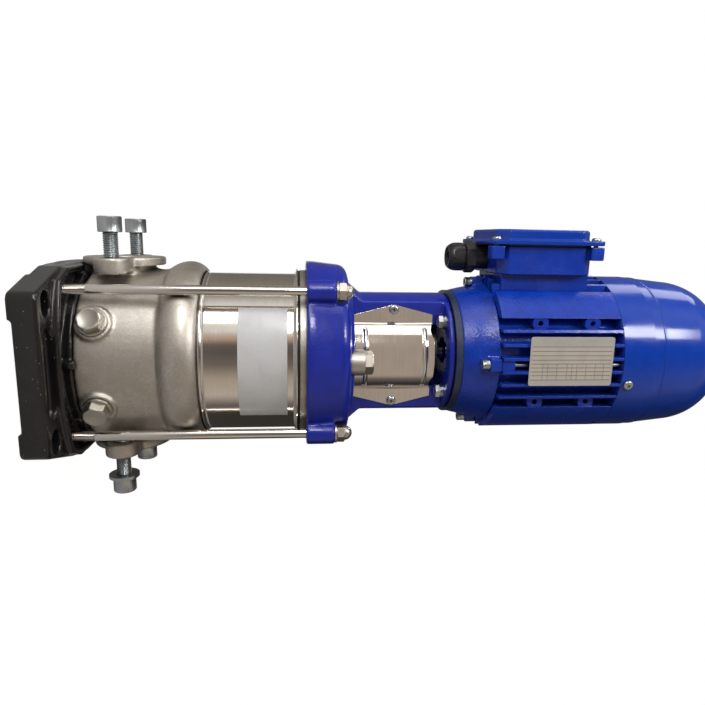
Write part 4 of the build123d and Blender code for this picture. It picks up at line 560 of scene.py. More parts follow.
FINISHES: dict[str, Finish] = {finish.name: finish for finish in (
    PaintFinish(
        "black_paint", (0.007, 0.007, 0.0075), (0.013, 0.012, 0.012), (0.10, 0.10, 0.10), roughness=0.24,
        coat=0.25, peel_size=2.4, peel_depth=0.03, grain_size=3.0, grain_depth=0.05, wear=0.25, specks=0.5,
    ),
    MetalFinish(
        "cast_stainless", (0.66, 0.63, 0.58), (0.47, 0.435, 0.385), 0.42, 0.12, (6.0, 6.0, 6.0), 0.004,
        1.3, 0.08, edge_radius=1.0, stain_share=0.45, specks=0.5, seam_reach=6.0, seam_shade_and_dirt=0.9,
    ),
    MetalFinish(
        "polished_stainless", (0.83, 0.80, 0.76), (0.62, 0.58, 0.53), 0.10, 0.09, (60.0, 60.0, 0.35), 0.0012,
        stain_share=0.25, specks=0.35, swell_depth=0.008, seam_shade_and_dirt=0.95,
    ),
    MetalFinish(
        "stage_stainless", (0.70, 0.69, 0.67), (0.52, 0.50, 0.47), 0.28, 0.1, (14.0, 14.0, 0.5), 0.003,
    ),
    MetalFinish(
        "stainless_fastener", (0.58, 0.55, 0.50), (0.42, 0.39, 0.34), 0.32, 0.12, (2.0, 2.0, 0.5), 0.002,
        edge_radius=0.25, seam_shade_and_dirt=0.9,
    ),
    MetalFinish(
        "zinc_fastener", (0.56, 0.61, 0.64), (0.38, 0.42, 0.45), 0.28, 0.12, (1.6, 1.6, 1.6), 0.002,
        edge_radius=0.2, seam_shade_and_dirt=0.9,
    ),
    MouldedFinish("black_rubber", (0.015, 0.015, 0.015), (0.05, 0.05, 0.05), 0.62),
    MouldedFinish("seal_ceramic", (0.80, 0.77, 0.70), (0.62, 0.58, 0.50), 0.25, grain_depth=0.002),
    MouldedFinish("seal_carbon", (0.04, 0.04, 0.042), (0.10, 0.10, 0.10), 0.35, grain_depth=0.003),
    PaintFinish(
        "stool_blue_paint", (0.008, 0.023, 0.34), (0.007, 0.016, 0.25), PAINT_CHIP, roughness=0.22, coat=0.0,
        peel_size=1.7, peel_depth=0.035, grain_size=2.2, grain_depth=0.035, edge_radius=1.2, wear=0.12,
    ),
    PaintFinish(
        "motor_blue_paint", (0.003, 0.040, 0.40), (0.003, 0.027, 0.30), PAINT_CHIP, roughness=0.24, coat=0.0,
        peel_size=1.6, peel_depth=0.085, grain_size=1.8, grain_depth=0.05, edge_radius=0.9, wear=0.1,
    ),
    PaintFinish(
        "cover_blue_paint", (0.002, 0.044, 0.38), (0.002, 0.035, 0.32), PAINT_CHIP, roughness=0.14, coat=0.0,
        peel_size=3.0, peel_depth=0.004, edge_radius=0.9, wear=0.1,
    ),
    PaintFinish(
        "flange_ring_paint", (0.022, 0.034, 0.085), (0.012, 0.02, 0.055), (0.2, 0.25, 0.4), roughness=0.34,
        coat=0.0, peel_size=1.3, peel_depth=0.08, grain_size=1.3, grain_depth=0.08, edge_radius=0.7, wear=0.2,
        specks=0.3,
    ),
    MetalFinish(
        "phosphated_steel", (0.13, 0.13, 0.135), (0.07, 0.07, 0.07), 0.5, 0.1, (3.0, 3.0, 3.0), 0.006,
    ),
    MetalFinish(
        "lamination_steel", (0.34, 0.34, 0.35), (0.2, 0.19, 0.18), 0.4, 0.15, (90.0, 90.0, 0.6), 0.06,
    ),
    MetalFinish(
        "copper_winding", (0.62, 0.27, 0.10), (0.32, 0.12, 0.05), 0.3, 0.12, (0.7, 0.7, 6.0), 0.12,
    ),
    MetalFinish(
        "bearing_steel", (0.72, 0.72, 0.73), (0.5, 0.5, 0.5), 0.16, 0.1, (30.0, 30.0, 0.25), 0.0015,
    ),
    MouldedFinish("fan_plastic", (0.022, 0.022, 0.023), (0.05, 0.05, 0.05), 0.42),
    MouldedFinish("terminal_plastic", (0.10, 0.075, 0.05), (0.16, 0.13, 0.1), 0.5),
    MouldedFinish(
        "gland_plastic", (0.014, 0.014, 0.016), (0.04, 0.04, 0.045), 0.36, 0.4, 0.006, edge_radius=0.5,
    ),
    PlateFinish("rating_foil"),
    MouldedFinish(
        "label_film", (0.58, 0.595, 0.61), (0.50, 0.505, 0.51), 0.30, 4.0, 0.004, edge_radius=0.2,
    ),
)}


def dress_nodes() -> Materials:
    """Gives every CAD node the finish of its material slot.

    Returns:
        The material of each slot.
    """
    materials = {slot: finish.material() for slot, finish in FINISHES.items()}
    for part in frame["record"]["subparts"]:
        node = frame["nodes"][part["node"]]
        node.data.materials.clear()
        node.data.materials.append(materials[part["material_slot"]])
        log.info("%s wears %s", part["node"], part["material_slot"])
    return materials


# Meshes


def hexagon(flats: float) -> RadiusRule:
    """A hexagon's radius from its size across flats."""
    return lambda angle, height: flats / 2 / cos((angle + pi / 6) % (pi / 3) - pi / 6)


def coned(rule: RadiusRule, flats: float, low: float, high: float, slope: float = 1.7) -> RadiusRule:
    """Cuts a hexagon's corners by a cone at both ends.

    Args:
        rule: The hexagon's own rule.
        flats: Its size across flats.
        low: The height of its lower face, where a cone starts, or a far lower one for none.
        high: The height of its upper face.
        slope: How fast the cone widens.

    Returns:
        The rule of the chamfered hexagon.
    """
    face = flats / 2 * 0.97
    return lambda angle, height: min(rule(angle, height), face + slope * min(height - low, high - height))


def threaded(crest: float, pitch: float) -> RadiusRule:
    """A helical thread's radius from its crest and pitch."""
    depth = 0.54 * pitch
    return lambda angle, height: crest - depth * (1 - abs(2 * ((height / pitch - angle / (2 * pi)) % 1) - 1))


def knurled(radius: float, count: int, depth: float) -> RadiusRule:
    """A radius with fine grip ridges."""
    return lambda angle, height: radius - depth * abs(sin(count * angle / 2))


def crossed(reach: float, half_width: float) -> RadiusRule:
    """The outline of a cross recess."""

    def rule(angle: float, height: float) -> float:
        """The cross's reach at an angle."""
        turned = (angle + pi / 4) % (pi / 2) - pi / 4
        return min(reach, half_width / max(abs(sin(turned)), 1e-6))

    return rule


def axis_matrix(place: Sequence[float], axis: Sequence[float], turn: float = 0.0) -> Matrix:
    """A matrix that stands a piece's own Z along an axis at a place, in millimetres.

    Args:
        place: Where the piece's origin goes.
        axis: Where its Z points.
        turn: How far it is turned about that axis, in degrees.

    Returns:
        The matrix.
    """
    stand = Vector(axis).to_track_quat("Z", "X").to_matrix().to_4x4()
    return Matrix.Translation(Vector(place)) @ stand @ Matrix.Rotation(radians(turn), 4, "Z")


@dataclass
class Draft:
    """A piece's points and faces while it is made, in millimetres."""

    points: list[Vector] = field(default_factory=list)
    faces: list[tuple[int, ...]] = field(default_factory=list)

    def turn(self, rows: Sequence[Row], placement: Matrix, segments: int = 48, ring: bool = False) -> None:
        """Adds a turned body, whose radius may change round it.

        Args:
            rows: The height and radius of each ring of points, from one end over the outside to the other.
            placement: Where the body goes.
            segments: How many points a ring has.
            ring: True joins the last row to the first, for a body with a bore.
        """
        first = len(self.points)
        for height, rule in rows:
            for step in range(segments):
                angle = 2 * pi * step / segments
                radius = rule(angle, height) if callable(rule) else rule
                self.points.append(placement @ Vector((radius * cos(angle), radius * sin(angle), height)))
        count = len(rows)
        for row in range(count if ring else count - 1):
            low, high = first + row * segments, first + (row + 1) % count * segments
            for step in range(segments):
                after = (step + 1) % segments
                self.faces.append((low + step, low + after, high + after, high + step))
        if not ring:
            last = first + (count - 1) * segments
            self.faces.append(tuple(range(first + segments - 1, first - 1, -1)))
            self.faces.append(tuple(range(last, last + segments)))

    def build(self, name: str, material: Material, sharp: float = 32.0) -> Object:
        """Makes the object.

        Args:
            name: The piece's name.
            material: Its material.
            sharp: The angle in degrees above which an edge stays sharp.

        Returns:
            The new object, in metres.
        """
        mesh = bpy.data.meshes.new(name)
        mesh.from_pydata([tuple(point * MM) for point in self.points], [], self.faces)
        return finish_mesh(name, mesh, material, sharp)

    def place(self, name: str, materials: Materials, slot: str, *nodes: str) -> None:
        """Makes the object in its slot's material and enters it for its nodes."""
        enter(self.build(name, materials[slot]), slot, *nodes)


def add_object(name: str, data: ID) -> Object:
    """Makes an object and puts it into the scene."""
    made = bpy.data.objects.new(name, data)
    bpy.context.scene.collection.objects.link(made)
    return made


def finish_mesh(
    name: str, mesh: Mesh, material: Material, sharp: float
) -> Object:
    """Makes an object from a mesh, with smooth faces between its sharp edges.

    Args:
        name: The piece's name.
        mesh: Its mesh, in metres.
        material: Its material.
        sharp: The angle in degrees above which an edge stays sharp.

    Returns:
        The new object.
    """
    mesh.materials.clear()
    mesh.materials.append(material)
    mesh.shade_smooth()
    mesh.set_sharp_from_angle(angle=radians(sharp))
    return add_object(name, mesh)


def enter(piece: Object, slot: str, *nodes: str) -> None:
    """Puts a piece on the still body and hides the nodes that it stands for.

    Args:
        piece: The new piece.
        slot: The record's material slot; not used.
        nodes: The CAD nodes that it replaces.
    """
    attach(piece, STILL)
    if nodes:
        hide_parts(*nodes)
    log.info("%s: %d faces", piece.name, len(piece.data.polygons))


def thread_rows(crest: float, pitch: float, low: float, high: float) -> list[Row]:
    """The rows of a threaded stretch.

    Args:
        crest: The thread's outer radius.
        pitch: Its pitch.
        low: The height where it starts.
        high: The height where it ends.

    Returns:
        The rows, six to each turn.
    """
    rule = threaded(crest, pitch)
    count = max(2, round((high - low) / pitch * 6))
    return [(low + (high - low) * step / count, rule) for step in range(count + 1)]


def relax(mesh: Mesh, rounds: int, share: Callable[[np.ndarray], np.ndarray] | None = None) -> None:
    """Moves each point towards the middle of its neighbours, which rounds edges as casting does.

    Args:
        mesh: The mesh, which is changed.
        rounds: How often the points move.
        share: Gives how much each point moves, from 0 to 1, from the points in metres. Without it
            all move fully.
    """
    count = len(mesh.vertices)
    points = np.empty(count * 3)
    mesh.vertices.foreach_get("co", points)
    points = points.reshape(-1, 3)
    edges = np.empty(len(mesh.edges) * 2, int)
    mesh.edges.foreach_get("vertices", edges)
    edges = edges.reshape(-1, 2)
    degree = np.maximum(np.bincount(edges.ravel(), minlength=count), 1)
    weight = 0.5 * (np.ones(count) if share is None else share(points))
    for _ in range(rounds):
        for axis in range(3):
            one, two = points[edges[:, 0], axis], points[edges[:, 1], axis]
            total = np.bincount(edges[:, 0], two, count) + np.bincount(edges[:, 1], one, count)
            points[:, axis] += weight * (total / degree - points[:, axis])
    mesh.vertices.foreach_set("co", points.ravel())
    mesh.update()


@dataclass(frozen=True)
class CastSkin:
    """Remakes a CAD node as a casting with soft edges and flowing corners."""

    node: str
    voxel: float = 0.9
    rounds: int = 5
    kept_share: float = 0.35
    flow_rounds: int = 0
    flow: Callable[[np.ndarray], np.ndarray] | None = None
    sharp: float = 60.0

    def _with_modifier(self, piece: Object, kind: str, **settings: object) -> None:
        """Gives a piece the mesh that one modifier makes of it.

        Args:
            piece: The piece, whose mesh is replaced.
            kind: Blender's name of the modifier.
            settings: Properties of the modifier.
        """
        modifier = piece.modifiers.new(kind.lower(), kind)
        for key, value in settings.items():
            setattr(modifier, key, value)
        ready = piece.evaluated_get(bpy.context.evaluated_depsgraph_get())
        made = bpy.data.meshes.new_from_object(ready)
        piece.modifiers.clear()
        piece.data = made

    def build(self, material: Material) -> Object:
        """Makes the casting.

        Args:
            material: Its material.

        Returns:
            The new piece.
        """
        mesh = frame["nodes"][self.node].data.copy()
        welded = bmesh.new()
        welded.from_mesh(mesh)
        bmesh.ops.remove_doubles(welded, verts=welded.verts, dist=1e-6)
        welded.to_mesh(mesh)
        welded.free()
        piece = add_object(f"{self.node}_casting", mesh)
        self._with_modifier(piece, "REMESH", mode="VOXEL", voxel_size=self.voxel * MM)
        relax(piece.data, self.rounds)
        if self.flow_rounds:
            relax(piece.data, self.flow_rounds, self.flow)
        self._with_modifier(piece, "DECIMATE", ratio=self.kept_share)
        made = piece.data
        bpy.data.objects.remove(piece)
        return finish_mesh(f"{self.node}_casting", made, material, self.sharp)

    def place(self, materials: Materials, slot: str) -> None:
        """Makes the casting in its slot's material and enters it for its node."""
        enter(self.build(materials[slot]), slot, self.node)


# Fasteners


@dataclass(frozen=True)
class SocketCapScrew:
    """A socket-head cap screw, whose head stands on height 0."""

    head_radius: float
    head_height: float
    shank_radius: float
    shank_length: float
    pitch: float
    socket_flats: float

    def rows(self) -> list[Row]:
        """The screw's rows from its tip to the bottom of its socket."""
        radius, top = self.head_radius, self.head_height
        grip = knurled(radius, 40, 0.02 * radius)
        socket = hexagon(self.socket_flats)
        tip = [(-self.shank_length - self.pitch / 2, self.shank_radius - 0.7 * self.pitch)]
        shank = thread_rows(self.shank_radius, self.pitch, -self.shank_length, 0.0)
        side = [(0.0, 0.96 * radius), (0.04 * top, radius), (0.06 * top, radius), (0.08 * top, grip)]
        side += [(0.88 * top, grip), (0.9 * top, radius), (0.95 * top, radius)]
        face = [(top, 0.95 * radius), (top, 1.2 * self.socket_flats / sqrt(3)), (0.97 * top, socket)]
        return [*tip, *shank, *side, *face, (0.45 * top, socket), (0.38 * top, 0.2 * self.socket_flats)]


@dataclass(frozen=True)
class PanHeadScrew:
    """A pan-head screw with a cross recess, whose head stands on height 0."""

    head_radius: float
    head_height: float
    shank_radius: float
    shank_length: float

    def rows(self) -> list[Row]:
        """The screw's rows from its tip to the bottom of its recess."""
        radius, top = self.head_radius, self.head_height
        dome = []
        for step in range(9):
            angle = radians(10 * step)
            dome.append((top * (0.3 + 0.7 * sin(angle)), radius * (1 - 0.55 * (1 - cos(angle)) ** 1.1)))
        shank = [(-self.shank_length, self.shank_radius * 0.8), (-self.shank_length + 0.4, self.shank_radius)]
        mouth, bottom = crossed(0.42 * radius, 0.1 * radius), crossed(0.3 * radius, 0.06 * radius)
        recess = [(top, mouth), (0.35 * top, bottom)]
        return [*shank, (0.0, self.shank_radius), (0.0, radius), *dome, *recess]


@dataclass(frozen=True)
class HexHead:
    """A hexagon head with a chamfered top on an optional collar and shank, standing on height 0."""

    flats: float
    height: float
    shank_radius: float
    shank_length: float
    collar_radius: float = 0.0
    collar_height: float = 0.0
    dish: float = 0.0

    def rows(self) -> list[Row]:
        """The head's rows from the end of its shank to the middle of its top."""
        shank, end = self.shank_radius, -self.shank_length
        rows: list[Row] = [(end, 0.85 * shank), (end + 1, shank), (0.0, shank)]
        base, top = self.collar_height, self.collar_height + self.height
        if self.collar_radius:
            soft = 0.18 * base
            rows += [(0.0, self.collar_radius - soft), (soft, self.collar_radius)]
            rows += [(base - soft, self.collar_radius), (base, self.collar_radius - 1.6 * soft)]
        rule = coned(hexagon(self.flats), self.flats, -9.0, top)
        rows += [(base + (top - base) * share, rule) for share in (0.0, 0.6, 0.7, 0.8, 0.88, 0.95, 1.0)]
        floor = top - self.dish
        return [*rows, (top, 0.8 * self.flats / 2), (floor, 0.74 * self.flats / 2), (floor, 0.1)]


@dataclass(frozen=True)
class DomedNut:
    """A domed nut that stands on height 0."""

    flats: float = 13.0
    hex_height: float = 6.5
    dome_radius: float = 5.9
    bore_radius: float = 4.2
    bore_depth: float = 8.0

    def rows(self) -> list[Row]:
        """The nut's rows from the bottom of its bore over its outside to its crown."""
        rule = coned(hexagon(self.flats), self.flats, -0.1, self.hex_height)
        depth, bore = self.bore_depth, self.bore_radius
        rows: list[Row] = [(depth, 0.2), (depth, bore), (0.0, bore)]
        rows += [(self.hex_height * share, rule) for share in (0.0, 0.06, 0.14, 0.25, 0.75, 0.86, 0.94, 1.0)]
        rows.append((self.hex_height, self.dome_radius))
        for step in range(1, 13):
            angle = pi / 2 * step / 12.5
            rows.append((self.hex_height + self.dome_radius * sin(angle), self.dome_radius * cos(angle)))
        return rows


# Sub-assemblies


def ring_spots(radius: float, angles: Sequence[float], level: float) -> list[Vector]:
    """The points at the given angles in degrees on a circle round the shaft."""
    return [Vector((radius * cos(radians(angle)), radius * sin(radians(angle)), level)) for angle in angles]


@dataclass
class PumpBase:
    """The cast foot and the stainless casing with its screws and plugs."""

    port_level: float = 50.0
    screw_offset: float = 37.5
    screw_seat: float = 99.2
    plug_level: float = 41.5
    plug_angle: float = 27.0
    plug_reach: float = 73.0
    screw_turn: float = 17.0
    plug_turn: float = 12.0
    neck_start: float = 48.0
    neck_end: float = 72.5
    flow_radius: float = 44.0
    bore_rim: float = 17.0
    port_screw: SocketCapScrew = SocketCapScrew(9.0, 12.0, 5.9, 31.2, 1.75, 10.0)
    plug: HexHead = HexHead(17.0, 7.5, 6.6, 9.0, 11.0, 2.5, dish=0.25)

    def port_flow(self, points: np.ndarray) -> np.ndarray:
        """Says how much each point flows where the port necks leave the casing.

        Args:
            points: The mesh's points in metres.

        Returns:
            A share from 0 to 1 for each.
        """
        out = np.abs(points[:, 0]) / MM
        away = np.hypot(points[:, 1] / MM, points[:, 2] / MM - self.port_level)
        rise = np.clip((out - self.neck_start) / 6.0, 0, 1) * np.clip((self.neck_end - out) / 2.0, 0, 1)
        inside = np.clip((self.flow_radius - away) / 8.0, 0, 1)
        return rise * inside * np.clip((away - self.bore_rim) / 2.0, 0, 1)

    def build(self, materials: Materials) -> None:
        """Builds and dresses the pieces."""
        CastSkin("base_foot", 0.9, 4, 0.3).place(materials, "black_paint")
        casing = CastSkin("pump_casing", 0.9, 5, 0.35, 90, self.port_flow)
        casing.place(materials, "cast_stainless")
        screws, plugs = Draft(), Draft()
        for side in Side:
            for offset in (-self.screw_offset, self.screw_offset):
                spot = (side.value * self.screw_seat, offset, self.port_level)
                place = axis_matrix(spot, (side.value, 0, 0), self.screw_turn * offset)
                screws.turn(self.port_screw.rows(), place, 120)
            angle = -90 + side.value * self.plug_angle
            spot = ring_spots(self.plug_reach, [angle], self.plug_level)[0]
            place = axis_matrix(spot, (spot.x, spot.y, 0), self.plug_turn * side.value)
            plugs.turn(self.plug.rows(), place, HEX_SEGMENTS)
        screws.place("port_cap_screws", materials, "zinc_fastener", "port_screws")
        plugs.place("collar_plugs", materials, "stainless_fastener", "casing_plugs")


@dataclass
class Sleeve:
    """The polished sleeve, the tie rods round it and their domed nuts."""

    radius: float = 67.3
    wall: float = 1.5
    socket: float = 105.96
    bottom: float = 115.96
    top: float = 192.96
    bead_radius: float = 68.1
    lip_radius: float = 71.6
    rod_circle: float = 81.0
    rod_radius: float = 3.9
    rod_low: float = 6.3
    rod_high: float = 230.96
    rod_tip: float = 3.0
    rod_crest: float = 3.98
    rod_pitch: float = 1.25
    rod_angles: tuple[int, ...] = (45, 135, 225, 315)
    thread_top: float = 36.0
    nut_level: float = 224.46
    nut: DomedNut = DomedNut()

    def profile(self) -> list[Row]:
        """The sleeve's rows round its section."""
        radius, low, high = self.radius, self.bottom, self.top
        outer = [(self.socket, radius), (low + 0.3, radius)]
        for step in range(9):
            angle = pi * step / 8
            outer.append((low + 1.8 - 1.3 * cos(angle), radius + (self.bead_radius - radius) * sin(angle)))
        outer += [(low + 3.6, radius - 0.35), (low + 4.2, radius - 0.35), (low + 4.8, radius)]
        outer += [(level, radius) for level in (low + 5.1, low + 5.6, high - 4.2, high - 3.7)]
        outer += [(high - 3.4, radius), (high - 2.6, radius + 0.3), (high - 1.9, radius + 1.2)]
        outer += [(high - 1.2, self.lip_radius - 0.6), (high - 0.8, self.lip_radius), (high, self.lip_radius)]
        inner = [(high, radius + 1.0), (high - 2.9, radius - self.wall), (self.socket, radius - self.wall)]
        return outer + inner

    def rod_rows(self) -> list[Row]:
        """A tie rod's rows, with a thread at each end."""
        thread, nut, radius = self.thread_top, self.nut_level, self.rod_radius
        return [
            (self.rod_low, self.rod_tip),
            *thread_rows(self.rod_crest, self.rod_pitch, self.rod_low + 0.6, thread),
            *((level, radius) for level in (thread + 0.8, thread + 1.2, nut - 4.4, nut - 4.0)),
            *thread_rows(self.rod_crest, self.rod_pitch, nut - 3.2, self.rod_high - 0.6),
            (self.rod_high, self.rod_tip),
        ]

    def build(self, materials: Materials) -> None:
        """Builds and dresses the pieces."""
        sleeve, rods, nuts = Draft(), Draft(), Draft()
        sleeve.turn(self.profile(), Matrix.Identity(4), 256, ring=True)
        sleeve.place("drawn_sleeve", materials, "polished_stainless", "outer_sleeve")
        for index, spot in enumerate(ring_spots(self.rod_circle, self.rod_angles, 0.0)):
            rods.turn(self.rod_rows(), Matrix.Translation(spot), 32)
            place = axis_matrix((spot.x, spot.y, self.nut_level), (0, 0, 1), 13 + 19 * index)
            nuts.turn(self.nut.rows(), place, HEX_SEGMENTS)
        rods.place("threaded_tie_rods", materials, "polished_stainless", "tie_rods")
        nuts.place("domed_cap_nuts", materials, "stainless_fastener", "domed_nuts")


@dataclass
class Stool:
    """The cast stool with its vent plug, coupling guards and the motor's bolts."""

    vent_reach: float = 53.0
    vent_hex_height: float = 7.0
    guard_half: float = 28.0
    guard_rise: float = 15.0
    guard_back: float = 24.1
    guard_wall: float = 1.0
    guard_low: float = 240.36
    guard_high: float = 307.36
    tip_reach: float = 44.0
    end_reach: float = 35.5
    rib_levels: tuple[float, float] = (249.5, 299.5)
    rib_half_length: float = 25.0
    rib_half_width: float = 2.3
    rib_rise: float = 1.0
    screw_offset: float = 39.8
    bolt_spot: float = 30.05
    bolt_seat: float = 315.86
    arch_share: float = 0.8
    columns: int = 160
    rows_up: int = 150
    notch_depth: float = 2.6
    notch_spot: float = 24.0
    notch_half_width: float = 7.0
    guard_screw: PanHeadScrew = PanHeadScrew(4.0, 2.4, 1.9, 8.7)
    bolt: HexHead = HexHead(10.0, 3.6, 2.9, 21.6, 5.6, 1.4, dish=0.3)

    def section(self, share: float, limit: float) -> tuple[Vector, Vector, float]:
        """A point of the guard's section.

        Args:
            share: How far along the section it is, from -1 to 1.
            limit: How far out the flange reaches at this level.

        Returns:
            The point and the outward normal, both as across and out, and the distance along the
            arch from its crown.
        """
        arch_share = self.arch_share
        radius = (self.guard_half**2 + self.guard_rise**2) / (2 * self.guard_rise)
        sweep = asin(self.guard_half / radius)
        side = 1 if share >= 0 else -1
        if abs(share) <= arch_share:
            angle = share / arch_share * sweep
            centre = self.guard_back + self.guard_rise - radius
            normal = Vector((sin(angle), cos(angle)))
            return Vector((0, centre)) + radius * normal, normal, radius * angle
        out = (abs(share) - arch_share) / (1 - arch_share)
        across = side * (self.guard_half + out * (limit - self.guard_half))
        return Vector((across, self.guard_back)), Vector((0, 1)), side * (radius * sweep + 4 + out)

    def rib(self, along: float, level: float) -> float:
        """The height of the two pressed ribs at a point of the arch.

        Args:
            along: How far the point lies from the crown along the arch.
            level: Its level.

        Returns:
            The rise over the plain sheet.
        """
        rise = 0.0
        for rib_level in self.rib_levels:
            beyond = max(abs(along) - self.rib_half_length, 0.0)
            away = min(hypot(beyond, level - rib_level) / self.rib_half_width, 1.0)
            rise = max(rise, self.rib_rise * (1 + cos(pi * away)) / 2)
        return rise

    def guard(self, side: Side, draft: Draft) -> None:
        """Adds one guard's sheet to a draft.

        Args:
            side: The side of the shaft along Y that it covers.
            draft: The draft that takes its points and faces.
        """
        across, up = self.columns, self.rows_up
        middle = (self.guard_low + self.guard_high) / 2
        half = (self.guard_high - self.guard_low) / 2
        first = len(draft.points)
        for skin in (self.guard_wall, 0.0):
            for row in range(up + 1):
                for column in range(across + 1):
                    share = -1 + 2 * column / across
                    level = self.guard_low + 2 * half * row / up
                    limit = self.tip_reach - (self.tip_reach - self.end_reach) * abs(level - middle) / half
                    point, normal, along = self.section(share, limit)
                    beside = abs(abs(along) - self.notch_spot) / self.notch_half_width
                    notch = self.notch_depth * max(0.0, 1 - beside) ** 0.5
                    level -= notch * max(0.0, (level - middle) / half) ** 4
                    lift = skin + self.rib(along, level)
                    spot = point + lift * normal
                    draft.points.append(Vector((spot.x, side.value * spot.y, level)))
        width = across + 1
        skin_size = width * (up + 1)
        outer, inner = first, first + skin_size
        faces = []
        for row in range(up):
            for column in range(across):
                one = row * width + column
                two, three, four = one + 1, one + width + 1, one + width
                faces.append((outer + one, outer + two, outer + three, outer + four))
                faces.append((inner + four, inner + three, inner + two, inner + one))
        rim = [*range(width), *range(2 * width - 1, skin_size, width)]
        rim += [*range(skin_size - 2, skin_size - width - 1, -1), *range(skin_size - 2 * width, 0, -width)]
        for here, after in zip(rim, rim[1:] + rim[:1]):
            faces.append((outer + after, outer + here, inner + here, inner + after))
        draft.faces += [face if side is Side.NEGATIVE else face[::-1] for face in faces]

    def build(self, materials: Materials) -> None:
        """Builds and dresses the pieces."""
        CastSkin("motor_stool", 0.95, 6, 0.35).place(materials, "stool_blue_paint")
        guards, vent, screws, bolts = Draft(), Draft(), Draft(), Draft()
        seat, middle = self.guard_back + self.guard_wall, (self.guard_low + self.guard_high) / 2
        for side in Side:
            self.guard(side, guards)
            for offset in (-self.screw_offset, self.screw_offset):
                place = axis_matrix((offset, side.value * seat, middle), (0, side.value, 0), 31 + offset)
                screws.turn(self.guard_screw.rows(), place, PAN_SEGMENTS)
        low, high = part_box("vent_plug")
        hex_start = high.z / MM - self.vent_hex_height
        vent_head = HexHead(17.0, self.vent_hex_height, 4.8, hex_start - low.z / MM, dish=0.2)
        place = axis_matrix((0, -self.vent_reach, hex_start), (0, 0, 1), 8)
        vent.turn(vent_head.rows(), place, HEX_SEGMENTS)
        for x in (-self.bolt_spot, self.bolt_spot):
            for y in (-self.bolt_spot, self.bolt_spot):
                place = axis_matrix((x, y, self.bolt_seat), (0, 0, -1), 11 + x)
                bolts.turn(self.bolt.rows(), place, HEX_SEGMENTS)
        guards.place("pressed_guards", materials, "polished_stainless", "coupling_guards")
        vent.place("vent_hex_plug", materials, "stainless_fastener", "vent_plug")
        screws.place("guard_pan_screws", materials, "zinc_fastener", "guard_screws")
        bolts.place("flanged_hex_bolts", materials, "zinc_fastener", "motor_bolts")


@dataclass
class Motor:
    """The motor's shield, its long bolts, and the fan cover's pressed bead and screws."""

    bolt_circle: float = 62.0
    bolt_seat: float = 346.76
    cover_screw_level: float = 464.26
    cover_screw_reach: float = 68.25
    cover_screw_first: float = -76.0
    bead_level: float = 494.8
    bead_radius: float = 67.25
    bead_half_width: float = 1.3
    bead_rise: float = 0.55
    bead_sink: float = 0.8
    bead_set_in: float = 0.12
    thread_shown: float = 12.0
    bolt: SocketCapScrew = SocketCapScrew(4.2, 6.0, 2.4, 118.7, 0.8, 4.0)
    cover_screw: PanHeadScrew = PanHeadScrew(4.2, 2.4, 1.9, 4.7)

    def bead_rows(self) -> list[Row]:
        """The rows of the bead that stiffens the fan cover, as a ring sunk into the cover's side."""
        rows: list[Row] = []
        for step in range(9):
            angle = pi * step / 8
            level = self.bead_level - self.bead_half_width * cos(angle)
            rows.append((level, self.bead_radius - self.bead_set_in + self.bead_rise * sin(angle)))
        inner = self.bead_radius - self.bead_sink
        ends = (self.bead_level + self.bead_half_width, self.bead_level - self.bead_half_width)
        return [*rows, *((level, inner) for level in ends)]

    def build(self, materials: Materials) -> None:
        """Builds and dresses the pieces."""
        CastSkin("drive_end_shield", 0.7, 4, 0.35).place(materials, "motor_blue_paint")
        bolts, screws, bead = Draft(), Draft(), Draft()
        near, tip = -self.thread_shown, -self.bolt.shank_length
        rows = [row for row in self.bolt.rows() if row[0] > near or row[0] < tip]
        for spot in ring_spots(self.bolt_circle, (0, 90, 180, 270), self.bolt_seat):
            bolts.turn(rows, axis_matrix(spot, (0, 0, -1)), 80)
        angles = [self.cover_screw_first + 120 * turn for turn in range(3)]
        for spot in ring_spots(self.cover_screw_reach, angles, self.cover_screw_level):
            screws.turn(self.cover_screw.rows(), axis_matrix(spot, (spot.x, spot.y, 0), 38), PAN_SEGMENTS)
        bead.turn(self.bead_rows(), Matrix.Identity(4), 192, ring=True)
        bolts.place("long_cap_bolts", materials, "zinc_fastener", "frame_bolts")
        screws.place("cover_pan_screws", materials, "zinc_fastener", "cover_screws")
        bead.place("cover_bead", materials, "cover_blue_paint")


